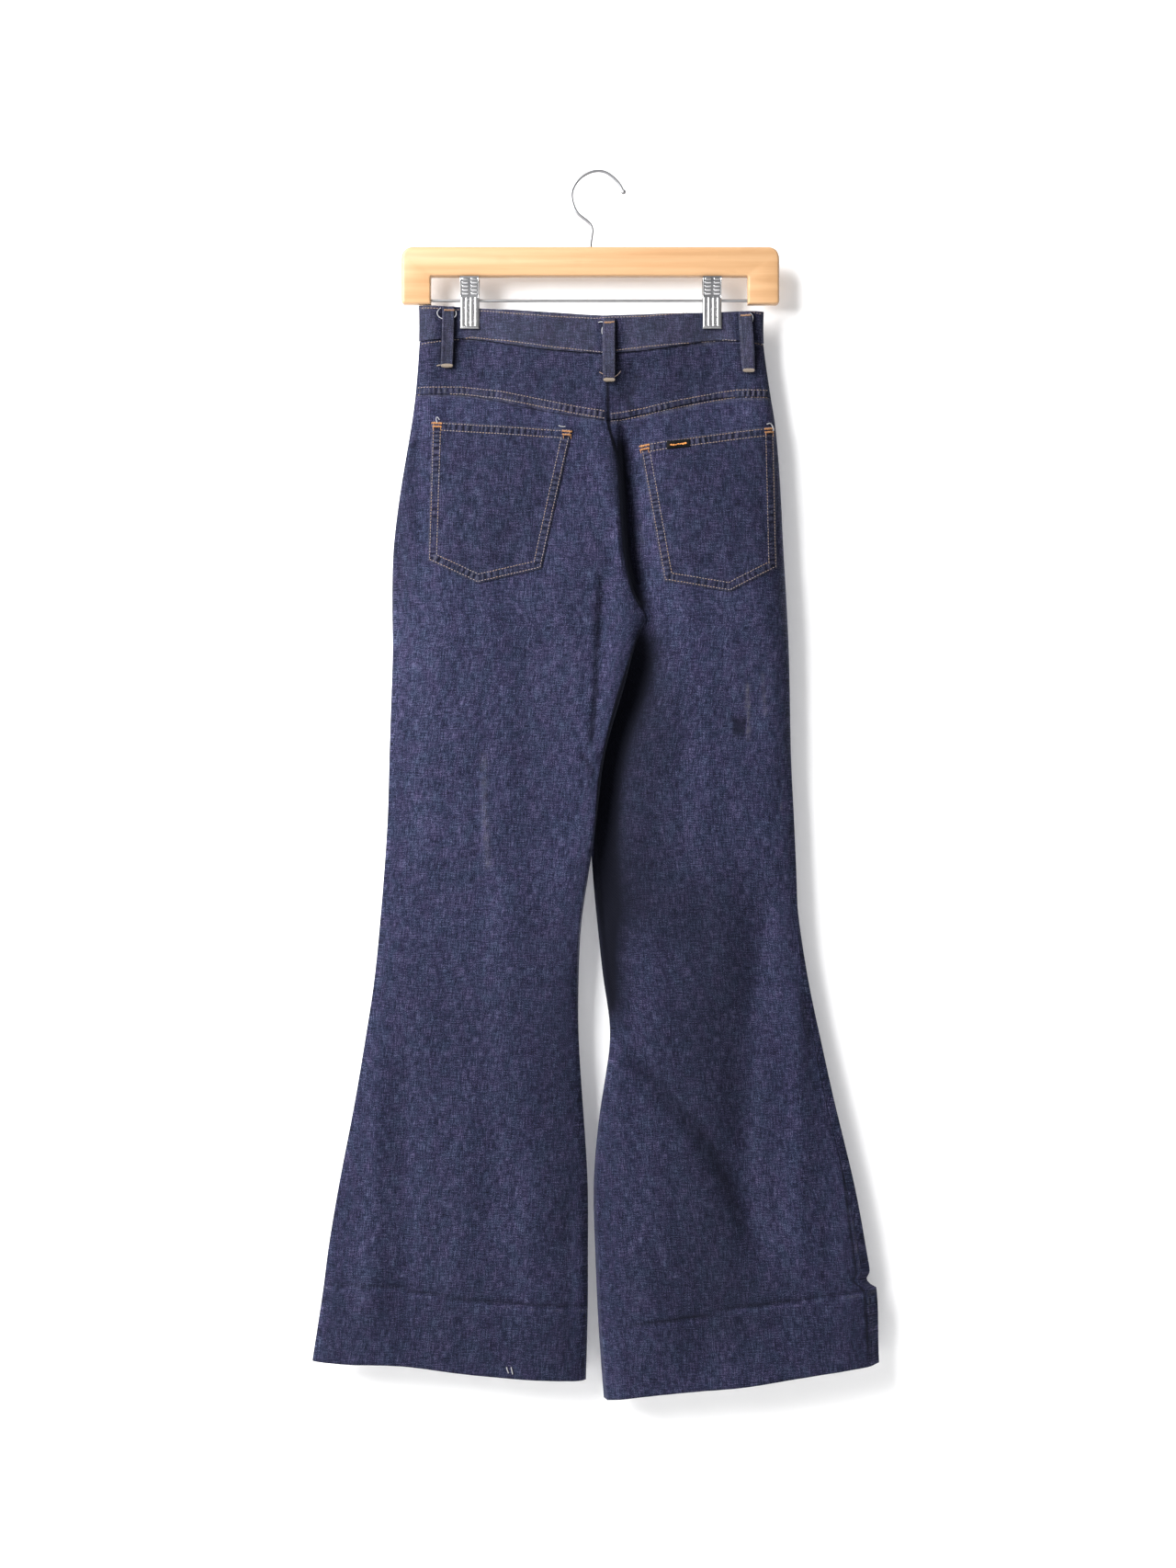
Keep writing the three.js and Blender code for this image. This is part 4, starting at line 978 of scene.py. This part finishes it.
def makePocket(leg):
    topOut, topIn, lowIn, tip, lowOut = pockets[leg]
    across, down = edgeRings(140), edgeRings(150)
    bm, columns, lines = gridOf(len(across) - 1, len(down) - 1)
    s = across[np.rint(columns * (len(across) - 1)).astype(int)]
    t = down[np.rint(lines * (len(down) - 1)).astype(int)]
    tipAt = (tip[0] - lowOut[0]) / (lowIn[0] - lowOut[0])
    tops = [blend(topOut[i], topIn[i], s) for i in (0, 1)]
    outer, inner = s / tipAt, (s - tipAt) / (1 - tipAt)
    lows = [np.where(s < tipAt, blend(lowOut[i], tip[i], outer), blend(tip[i], lowIn[i], inner))
            for i in (0, 1)]
    x, z = blend(tops[0], lows[0], t), blend(tops[1], lows[1], t)
    outline = pockets[leg] + pockets[leg][:1]
    edge, _, along, _ = pathDistance(x, z, outline)
    mouth = pathDistance(x, z, outline[:2])[0]
    middleOfRows = pocketMake["rowIn"] + pocketMake["rowsApart"] / 2
    lift = 0.2 + (pocketMake["lift"] - 0.2) * smooth(edge / 1.3)
    for row in (pocketMake["rowIn"], pocketMake["rowIn"] + pocketMake["rowsApart"]):
        lift = lift - 0.3 * bell(edge - row, 0.9)
    lift = lift + pocketMake["pucker"] * ripples(along, edge - middleOfRows, 3.6, pocketSeed[leg])
    lift += pocketMake["allowance"] * (1 - smooth((edge - 9.6) / 1.6))
    lift += pocketMake["gape"] * np.sin(math.pi * s) ** 2 * bell(mouth, 16)
    lift += (0.35 * waves(x, z, 50, 41) + 0.12 * waves(x, z, 15, 42)) * smooth((edge - 9) / 8)
    y = surfaceY(surfaces["seat"], x, z) - lift
    piece = thickSheet(bm, x, y, z, "seatPocketCloth_" + leg, "pocket", pocketMake["thick"])
    x, _, z = placesOf(piece).T
    edge, _, along, _ = pathDistance(x, z, outline)
    # Pale wear on the puckers' crests and painted shade in their troughs, pale edges, and a darker band
    # between the rows
    worn = 2.0 * rungs(along, edge - middleOfRows, 3.4, pocketSeed[leg])
    worn += 0.45 * bell(edge, 0.9) - 0.22 * np.exp(-(((edge - middleOfRows) / 3.6) ** 4))
    clothMap(piece, leg, worn)
    return finish(piece, "denim", "seat_pocket_" + leg)


pocketPieces = {leg: makePocket(leg) for leg in pockets}
surfaces["pockets"] = surfaceWith("seat", *pocketPieces.values())
print("pockets made")


# Rows go round the pocket inside its edge: outline corners moved in by off
def insetOutline(corners, off):
    count = len(corners)
    moved = []
    for i, (x, z) in enumerate(corners):
        (x0, z0), (x1, z1) = corners[i - 1], corners[(i + 1) % count]
        ax, az = (x - x0, z - z0)
        bx, bz = (x1 - x, z1 - z)
        la, lb = math.hypot(ax, az), math.hypot(bx, bz)
        nax, naz, nbx, nbz = az / la, -ax / la, bz / lb, -bx / lb
        scale = off / (1 + nax * nbx + naz * nbz)
        moved.append((x + (nax + nbx) * scale, z + (naz + nbz) * scale))
    return moved


def sewPockets():
    rows, tacks = [], []
    surface = surfaces["pockets"]
    for leg, corners in pockets.items():
        first = insetOutline(corners, pocketMake["rowIn"])
        second = insetOutline(corners, pocketMake["rowIn"] + pocketMake["rowsApart"])
        for k, ring in enumerate((first, second)):
            sewRow(rows, surface, ring[1:] + ring[:1], 60 + k)  # sides and bottom
        for k, ring in enumerate((first, second)):
            sewRow(rows, surface, ring[:2], 70 + k)  # mouth
        slope = math.atan2(corners[1][1] - corners[0][1], corners[1][0] - corners[0][0])
        for k, (corner, inward) in enumerate(((corners[0], 1), (corners[1], -1))):
            x, z = corner[0] + inward * 5.2, corner[1] - 3.4 + inward * 5.2 * math.tan(slope)
            sewTack(tacks, surface, x, z + 1.4, 9.5, 2.6, 80 + k, slope, 0.5)
            sewTack(tacks, surface, x + inward * 0.3, z - 2.0, 8.6, 2.3, 82 + k, slope, 0.5)
            for side in (-3.6, 3.9):  # the tack's two tails
                layThread(tacks, surface, x + side, z - 4.5, math.pi / 2 + 0.1, 4.5, 0.6, 0.6, 0.3)
    finish(threadPiece("pocketStitches", rows, "stitch"), "denim")
    finish(threadPiece("pocketTacks", tacks, "tack"), "denim")


sewPockets()

# ---- label tab: black tape with plain dashes ----
tab = {"from": (71.8, -274.0), "to": (94.8, -271.6), "drop": 8.2, "above": 1.0, "thick": 0.5, "dashes": 7}


def makeTab():
    bm, across, down = gridOf(24, 7)
    x = blend(tab["from"][0], tab["to"][0], across)
    z = blend(tab["from"][1], tab["to"][1], across) - tab["drop"] * down
    roll = tab["above"] * smooth(np.minimum(down, 1 - down) * 6 + 0.4)
    y = surfaceY(surfaces["pockets"], x, z) - roll - tab["thick"]
    piece = thickSheet(bm, x, y, z, "tabTape", "tape", tab["thick"])
    clothMap(piece, worn=np.zeros(len(piece.data.vertices)))
    finish(piece, "label", "pocket_tab")
    dashes = []
    surface = (treeOf([piece]), -1)
    slope = math.atan2(tab["to"][1] - tab["from"][1], tab["to"][0] - tab["from"][0])
    pick = random.Random(7)
    for i in range(tab["dashes"]):
        share = 0.2 + 0.62 * i / (tab["dashes"] - 1)
        px = blend(tab["from"][0], tab["to"][0], share)
        pz = blend(tab["from"][1], tab["to"][1], share) - tab["drop"] * 0.52
        layThread(dashes, surface, px, pz + pick.uniform(-0.6, 0.6), slope + pick.uniform(-0.2, 0.5), 2.9,
                  pick.uniform(1.2, 2.2), 0.5, 0.05)
    finish(threadPiece("tabDashes", dashes, "orange"), "label")


makeTab()
print("pockets sewn, tab on")


# ---- belt loops ----
loops = {**{"belt_loop_seat_" + at: "seat" for at in ("left", "middle", "right")},
         **{"belt_loop_fly_" + at: "fly" for at in ("left", "right")}}
loopMake = {"levels": 3, "edgeRidge": 0.4, "edgeAt": 4.4, "wave": 0.22}


def makeLoop(node, layer):
    piece = clothPiece(node, loopMake["levels"], materials["loops"])
    places = placesOf(piece)
    x, _, z = places.T
    slope, middle, _, _ = loopLine(node)
    across = x - (middle + slope * z)
    side = layerSides[layer]
    out = loopMake["edgeRidge"] * bell(np.abs(across) - loopMake["edgeAt"], 1.2)
    out += loopMake["wave"] * waves(x, z, 13, len(node), 7)
    places[:, 1] += side * out
    setPlaces(piece, places)
    worn = 0.3 * bell(np.abs(across) - 5.2, 0.8) + 0.12 * bell(across, 2.2)
    clothMap(piece, worn=worn)
    return finish(piece, "denim", node)


loopPieces = {node: makeLoop(node, layer) for node, layer in loops.items()}
for layer in layerSides:
    sewn = [piece for node, piece in loopPieces.items() if loops[node] == layer]
    surfaces[layer + "Loops"] = surfaceWith(layer, *sewn)


endTack = {"wide": 11.6, "tall": 4.4, "threads": 11, "out": 0.5}


# The thick tack over a loop's low end: threads side by side, level with the loop
def sewEndTack(threads, surface, x, z, seed):
    tree, side = surface
    place, _ = pin(tree, side, x, z + 3)
    pick = random.Random(seed)
    for i in range(endTack["threads"]):
        share = i / (endTack["threads"] - 1) - 0.5
        at = (x * mm + share * (endTack["wide"] - 1.4) * mm, place.y + side * endTack["out"] * mm, z * mm)
        tall = endTack["tall"] * (1 - 1.1 * share**4 * 4) * pick.uniform(0.94, 1.04)
        threads.append(Matrix.Translation(at) @ Matrix.Diagonal((0.95 * mm, 1.1 * mm, tall / 2 * mm, 1)))


def sewLoops():
    low, high = [], []
    for k, (node, layer) in enumerate(loops.items()):
        slope, middle, lowZ, highZ = loopLine(node)
        surface = surfaces[layer + "Loops"]
        lowZ, highZ = lowZ + 0.2, highZ - 4.2
        sewEndTack(low, surface, middle + slope * lowZ, lowZ, 100 + k)
        sewTack(high, surface, middle + slope * highZ + 0.6, highZ, 9.6, 2.2, 120 + k, 0.03, 0.45)
    finish(threadPiece("loopTacksLow", low, "loopTack"), "denim")
    finish(threadPiece("loopTacksHigh", high, "bandTack"), "denim")


sewLoops()
print("belt loops made")

# ---- yoke and waistband rows ----
bandTop = [(-176, -137.4), (-108, -141), (-80, -144.8), (-43, -147.6), (0, -149.6), (50, -147.6),
           (78, -144.8), (106, -142), (143, -141), (171, -143.6)]


def sewSeat():
    rows = []
    surface = surfaces["seat"]
    for k, leg in enumerate(("yokeLeft", "yokeRight")):
        sewRow(rows, surface, seams[leg], 10 + k)
        sewRow(rows, surface, shifted(seams[leg], 0, -rowsApart), 12 + k)
    sewRow(rows, surface, shifted(seams["bandBottom"], 0, 1.2), 14)
    sewRow(rows, surface, bandTop, 15)
    finish(threadPiece("seatStitches", rows, "stitch"), "denim")


sewSeat()


# ---- fly side ----
fly = {"centre": 11.0, "wide": 40, "top": -203, "curve": -288, "bottom": -336, "levels": 3, "proud": 0.25}


def makeFly():
    piece = clothPiece("fly", fly["levels"], materials["denim"])
    places = placesOf(piece)
    x, z = places[:, 0], places[:, 2]
    places[:, 1] -= clothDepth("fly", "left", x, z)
    places[:, 1] += fly["proud"]
    setPlaces(piece, places)
    clothMap(piece, "left")
    return finish(piece, "denim", "fly")


flyPiece = makeFly()
surfaces["flyLap"] = surfaceWith("fly", flyPiece)


# The fly's J: down beside the lap and round in to the front seam, inset by off
def flyPath(off):
    wide, bottom = fly["wide"] - off, fly["bottom"] + off
    path = [(fly["centre"] - wide, fly["top"])]
    for turn in np.linspace(0, math.pi / 2, 12):
        away = wide * math.cos(turn)
        z = blend(fly["curve"], bottom, math.sin(turn))
        path.append((fly["centre"] + 8 * math.sin(turn) - away, z))
    return path


def sewFlySide():
    rows, tacks = [], []
    for k, (name, way) in enumerate((("openingLeft", -1), ("openingRight", 1))):
        for j, off in enumerate((2.4, 8.8)):
            sewRow(rows, surfaces["fly"], beside(seams[name], way * off), 20 + 2 * k + j)
        for end, lean in ((seams[name][0], 1.2), (seams[name][-1], 0.3)):
            x, z = end[0] - way * 6.5, end[1] - 5
            sewTack(tacks, surfaces["fly"], x, z, 8, 2.4, 30 + k, way * lean, 0.4)
    for j, off in enumerate((3.5, 10)):
        sewRow(rows, surfaces["flyLap"], flyPath(off), 40 + j)
    sewTack(tacks, surfaces["flyLap"], fly["centre"] - 12, fly["bottom"] + 14, 8, 2.4, 44, -0.6, 0.4)
    for j, path in enumerate(flyBandRows):
        sewRow(rows, surfaces["flyLap"], path, 45 + j)
    finish(threadPiece("flyStitches", rows, "stitch"), "denim")
    finish(threadPiece("flyTacks", tacks, "tack"), "denim")


# ---- waist button ----
# The profile is (radius, height) in mm, and deep is how far its back lies in from the CAD button's face
button = {"profile": [(8.4, 0), (8.6, 0.7), (8.3, 1.5), (7.7, 2.1), (7.0, 2.3), (6.4, 1.9), (5.9, 1.5),
                      (5.2, 1.5), (4.4, 1.7), (3.0, 2.2), (1.4, 2.5), (0.0, 2.6)], "steps": 40, "deep": 2.8}


def makeButton():
    low, high = (np.array(corner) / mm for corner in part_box("waist_button"))
    bm = bmesh.new()
    rim = [bm.verts.new((radius * mm, 0, height * mm)) for radius, height in button["profile"]]
    for first, second in zip(rim, rim[1:]):
        bm.edges.new((first, second))
    bmesh.ops.spin(bm, geom=bm.verts[:] + bm.edges[:], cent=(0, 0, 0), axis=(0, 0, 1), angle=2 * math.pi,
                   steps=button["steps"], use_merge=True)
    bmesh.ops.remove_doubles(bm, verts=bm.verts, dist=0.01 * mm)
    bmesh.ops.recalc_face_normals(bm, faces=bm.faces)
    middle = (low + high) / 2
    bmesh.ops.rotate(bm, verts=bm.verts, matrix=Matrix.Rotation(-math.pi / 2, 3, "X"))
    back = high[1] - button["deep"]
    bmesh.ops.translate(bm, verts=bm.verts, vec=(middle[0] * mm, back * mm, middle[2] * mm))
    finish(objectFrom(bm, "waistButtonBrass", materials["brass"]), "button", "waist_button")


# ---- hanger ----
bar = {"edge": 1.3, "segments": 3, "sharp": 25, "flat": 4, "shadeSharp": 40}


# Rounded edges of one width in mm
def roundEdges(bm, edges, wide, segments=3):
    bmesh.ops.bevel(bm, geom=edges, offset=wide * mm, segments=segments, profile=0.5, affect="EDGES",
                    clamp_overlap=True, material=-1)


def makeBar():
    bm = weldedCopy("hanger_bar")
    bmesh.ops.dissolve_limit(bm, angle_limit=math.radians(bar["flat"]), verts=bm.verts, edges=bm.edges)
    roundEdges(bm, sharpEdges(bm, bar["sharp"]), bar["edge"], bar["segments"])
    piece = objectFrom(bm, "hangerBarWood", materials["wood"])
    piece.data.set_sharp_from_angle(angle=math.radians(bar["shadeSharp"]))
    removeMaps(piece)
    finish(piece, "hanger_wood", "hanger_bar")


def makeHook():
    piece = objectFrom(weldedCopy("hanger_hook"), "hookWire", materials["wire"])
    removeMaps(piece)
    subdivide(piece, 1, 60)
    finish(piece, "hanger_steel", "hanger_hook")


clip = {"ribs": 4, "ribWide": 3.5, "ribPitch": 4.65, "ribTop": -127.2, "ribLow": -156.2, "proud": 0.9,
        "lipTall": 1.9, "rim": 1.1, "rimTop": -108.2, "ridges": 5, "ridgeTop": -109.4, "ridgeApart": 3.5,
        "ridgeWide": 6.4, "ridgeOff": 4.5, "ridgeTall": 2.1}


def addBlock(bm, x, y, z, size, edge):
    block = bmesh.new()
    bmesh.ops.create_cube(block, size=1)
    bmesh.ops.scale(block, verts=block.verts, vec=[part * mm for part in size])
    roundEdges(block, block.edges[:], edge)
    bmesh.ops.translate(block, verts=block.verts, vec=(x * mm, y * mm, z * mm))
    pour(block, bm)


# Pressed ribs, a lip and a raised rim on the face of a clip's jaw, which they follow
def dressJaw(node):
    low, high = (np.array(corner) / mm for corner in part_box(node))
    side = -1 if node.endswith("seat_jaw") else 1
    middle, wide = (low[0] + high[0]) / 2, high[0] - low[0]
    bm = bmesh.new()
    deep, tall = clip["proud"] + 0.5, clip["ribTop"] - clip["ribLow"]
    for i in range(clip["ribs"]):
        x = middle + (i - (clip["ribs"] - 1) / 2) * clip["ribPitch"]
        addBlock(bm, x, 0, (clip["ribTop"] + clip["ribLow"]) / 2, (clip["ribWide"], deep, tall), 0.5)
    addBlock(bm, middle, 0, clip["ribLow"] - 0.9, (wide - 0.5, deep + 0.6, clip["lipTall"]), 0.6)
    for i in range(clip["ridges"]):
        for way in (-1, 1):
            at = (middle + way * clip["ridgeOff"], 0, clip["ridgeTop"] - i * clip["ridgeApart"])
            addBlock(bm, *at, (clip["ridgeWide"], deep + 0.4, clip["ridgeTall"]), 0.5)
    rimTall = clip["rimTop"] - clip["ribTop"] + 1.2
    for way in (-1, 1):
        x = middle + way * (wide / 2 - clip["rim"] / 2)
        addBlock(bm, x, 0, clip["rimTop"] - rimTall / 2, (clip["rim"], deep, rimTall), 0.4)
    long = [e for e in bm.edges if abs(e.verts[0].co.z - e.verts[1].co.z) > 9 * mm]
    bmesh.ops.subdivide_edges(bm, edges=long, cuts=9, use_grid_fill=True)
    surface = (treeOf([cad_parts[node]]), side)
    heights = np.array([v.co.z for v in bm.verts]) / mm
    face = surfaceY(surface, heights * 0 + middle, np.clip(heights, low[2] + 0.3, high[2] - 0.3))
    for v, y in zip(bm.verts, face):
        v.co.y += (y + side * (clip["proud"] / 2 - 0.25)) * mm
    piece = objectFrom(bm, node + "_ribs", materials["steel"])
    piece.data.set_sharp_from_angle(angle=math.radians(50))
    finish(piece, "hanger_steel")


makeBar()
makeHook()
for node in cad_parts:
    if node.endswith("jaw"):
        dressJaw(node)
makeButton()
sewFlySide()
print("hanger, button and fly side made")

# ---- loose threads ----
threads = [
    ("threadLoopLeftTop", "white", [(-156, -138, 1), (-161, -142, 3), (-157, -149, 2), (-147, -150, 4),
                                    (-139, -146, 3), (-141, -141, 2)], 0.9),
    ("threadLoopLeftLow", "loopTack", [(-160, -196.5, 1), (-157, -195.5, 1.5), (-154, -196, 2)], 1.2),
    ("threadLoopMiddleTop", "white",
     [(3, -154, 1), (7, -153, 2.5), (9, -156, 3), (6, -162, 3), (7, -166, 2)], 0.9),
    ("threadLoopMiddleLow", "stitch", [(4, -204, 1), (7, -205.5, 2), (10, -208, 3)], 0.8),
    ("threadLoopMiddleIn", "stitch", [(19, -209, 3), (23, -207, 2), (25.5, -202.5, 1)], 0.8),
    ("threadLoopRightTop", "white", [(147, -141, 2), (156, -143, 4), (160, -148, 4), (158, -154, 3)], 0.7),
    ("threadPocketRight", "white", [(173, -256, 1), (176, -254, 2.5), (179, -257, 2.5), (180, -262, 2)], 1.2),
    ("threadPocketLeft", "white",
     [(-159, -255, 1.5), (-161, -251, 2), (-159, -248, 2), (-157, -252, 2)], 0.8),
    ("threadPocketLeftIn", "white", [(-37, -258, 1), (-33, -260, 2), (-30, -259, 2)], 0.8),
    ("threadHemLeft", "white", [(-89, -1203, 1), (-88.5, -1206, 2), (-87, -1209, 1)], 1.2),
    ("threadHemLeftIn", "white", [(-84.5, -1203, 1), (-83.5, -1207, 2), (-83, -1210, 1)], 1.2),
]
for name, kind, places, thick in threads:
    looseThread(name, surfaces["pockets"], places, thick, materials[kind])
print("loose threads laid")


# ---- the cut of what shows, without seam allowances: width, length, area in metres, and what holds it ----
cuts = {
    "waistbandCloth": (0.70, 0.045, 0.0270, "clip_left_seat_jaw"),
    "yoke_leftCloth": (0.194, 0.083, 0.0120, "waistbandCloth"),
    "yoke_rightCloth": (0.168, 0.081, 0.0105, "waistbandCloth"),
    "back_leftCloth": (0.336, 0.996, 0.2336, "yoke_leftCloth"),
    "back_rightCloth": (0.283, 1.012, 0.2218, "yoke_rightCloth"),
    "front_leftCloth": (0.337, 1.042, 0.2374, "waistbandCloth"),
    "front_rightCloth": (0.292, 1.057, 0.2232, "waistbandCloth"),
    "pocket_facing_leftCloth": (0.095, 0.079, 0.0059, "waistbandCloth"),
    "pocket_facing_rightCloth": (0.100, 0.078, 0.0059, "waistbandCloth"),
    "flyCloth": (0.054, 0.137, 0.0049, "waistbandCloth"),
    "seatPocketCloth_left": (0.142, 0.165, 0.0199, "back_leftCloth"),
    "seatPocketCloth_right": (0.140, 0.168, 0.0201, "back_rightCloth"),
    "tabTape": (0.023, 0.0105, 0.00021, "seatPocketCloth_right"),
    **{node + "Cloth": (0.0145, 0.061, 0.00088, "waistbandCloth") for node in loops},
}
sewnOn = {
    "waistbandCloth": ["seatStitches", "flyStitches", "loopTacksLow", "loopTacksHigh", "flyTacks"],
    "seatPocketCloth_left": ["pocketStitches", "pocketTacks"],
    "tabTape": ["tabDashes"],
}
for name, (width, length, area, holder) in cuts.items():
    extras = [bpy.data.objects[extra] for extra in sewnOn.get(name, [])]
print("cloth declared:", len(cuts), "sheets")


# ---- light, backdrop and floor ----
def makeStage():
    wall = bmesh.new()
    bmesh.ops.create_grid(wall, x_segments=1, y_segments=1, size=6.0)
    bmesh.ops.rotate(wall, verts=wall.verts, matrix=Matrix.Rotation(math.pi / 2, 3, "X"))
    bmesh.ops.translate(wall, verts=wall.verts, vec=(0, 0.027, 0))
    sheet = Sheet("backdropPaint")
    sheet.set(Base_Color=rgb(0.90, 0.90, 0.905), Roughness=0.9)
    sheet.set(Emission_Color=rgb(1.0, 0.995, 0.99), Emission_Strength=0.16)
    behind = sheet.node("ShaderNodeNewGeometry", output=6)
    clear = sheet.node("ShaderNodeBsdfTransparent")
    shown = sheet.node("ShaderNodeMixShader", {0: behind, 1: Value(sheet, sheet.shader.outputs[0]), 2: clear})
    sheet.plug(sheet.tree.nodes["Material Output"].inputs["Surface"], shown)
    backdrop = objectFrom(wall, "backdrop", sheet.material, False)
    backdrop.visible_shadow = backdrop.visible_diffuse = False
    floor = bmesh.new()
    bmesh.ops.create_grid(floor, x_segments=1, y_segments=1, size=8.0)
    bmesh.ops.translate(floor, verts=floor.verts, vec=(0, 0, -1.62))
    paint = Sheet("floorPaint")
    paint.set(Base_Color=rgb(0.86, 0.86, 0.86), Roughness=0.8)
    ground = objectFrom(floor, "floor", paint.material, False)


def makeLight(name, place, target, size, power):
    data = bpy.data.lights.new(name, "AREA")
    data.shape = "RECTANGLE"
    data.size, data.size_y = size
    data.energy = power
    lamp = bpy.data.objects.new(name, data)
    lamp.location = place
    lamp.rotation_euler = (Vector(target) - Vector(place)).to_track_quat("-Z", "Y").to_euler()
    scene.collection.objects.link(lamp)


lights = {
    "key": {"place": (-1.6, -1.5, 0.58), "target": (0, 0, -0.25), "size": (1.5, 1.8), "power": 184},
    "fill": {"place": (2.3, -2.6, -0.3), "target": (0, 0, -0.7), "size": (2.4, 2.4), "power": 3},
    "behind": {"place": (1.5, 2.2, 0.6), "target": (0, 0, -0.6), "size": (2.0, 2.4), "power": 110},
}
room = {"colour": rgb(1.0, 0.995, 1.0), "strength": 0.22}


def makeLights():
    for name, lamp in lights.items():
        makeLight(name, **lamp)
    world = bpy.data.worlds.new("room")
    world.use_nodes = True
    glow = world.node_tree.nodes["Background"].inputs
    glow["Color"].default_value = room["colour"]
    glow["Strength"].default_value = room["strength"]
    scene.world = world
    scene.view_settings.view_transform = "Standard"


makeStage()
makeLights()

for node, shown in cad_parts.items():
    if not shown.hide_render:
        kind = {"hanger_hook": "wire", "hanger_rod": "rod"}.get(node, "steel" if "sleeve" in node else "darkSteel")
        shown.data.materials.clear()
        shown.data.materials.append(materials[kind if node.startswith(("clip", "hanger")) else "denim"])
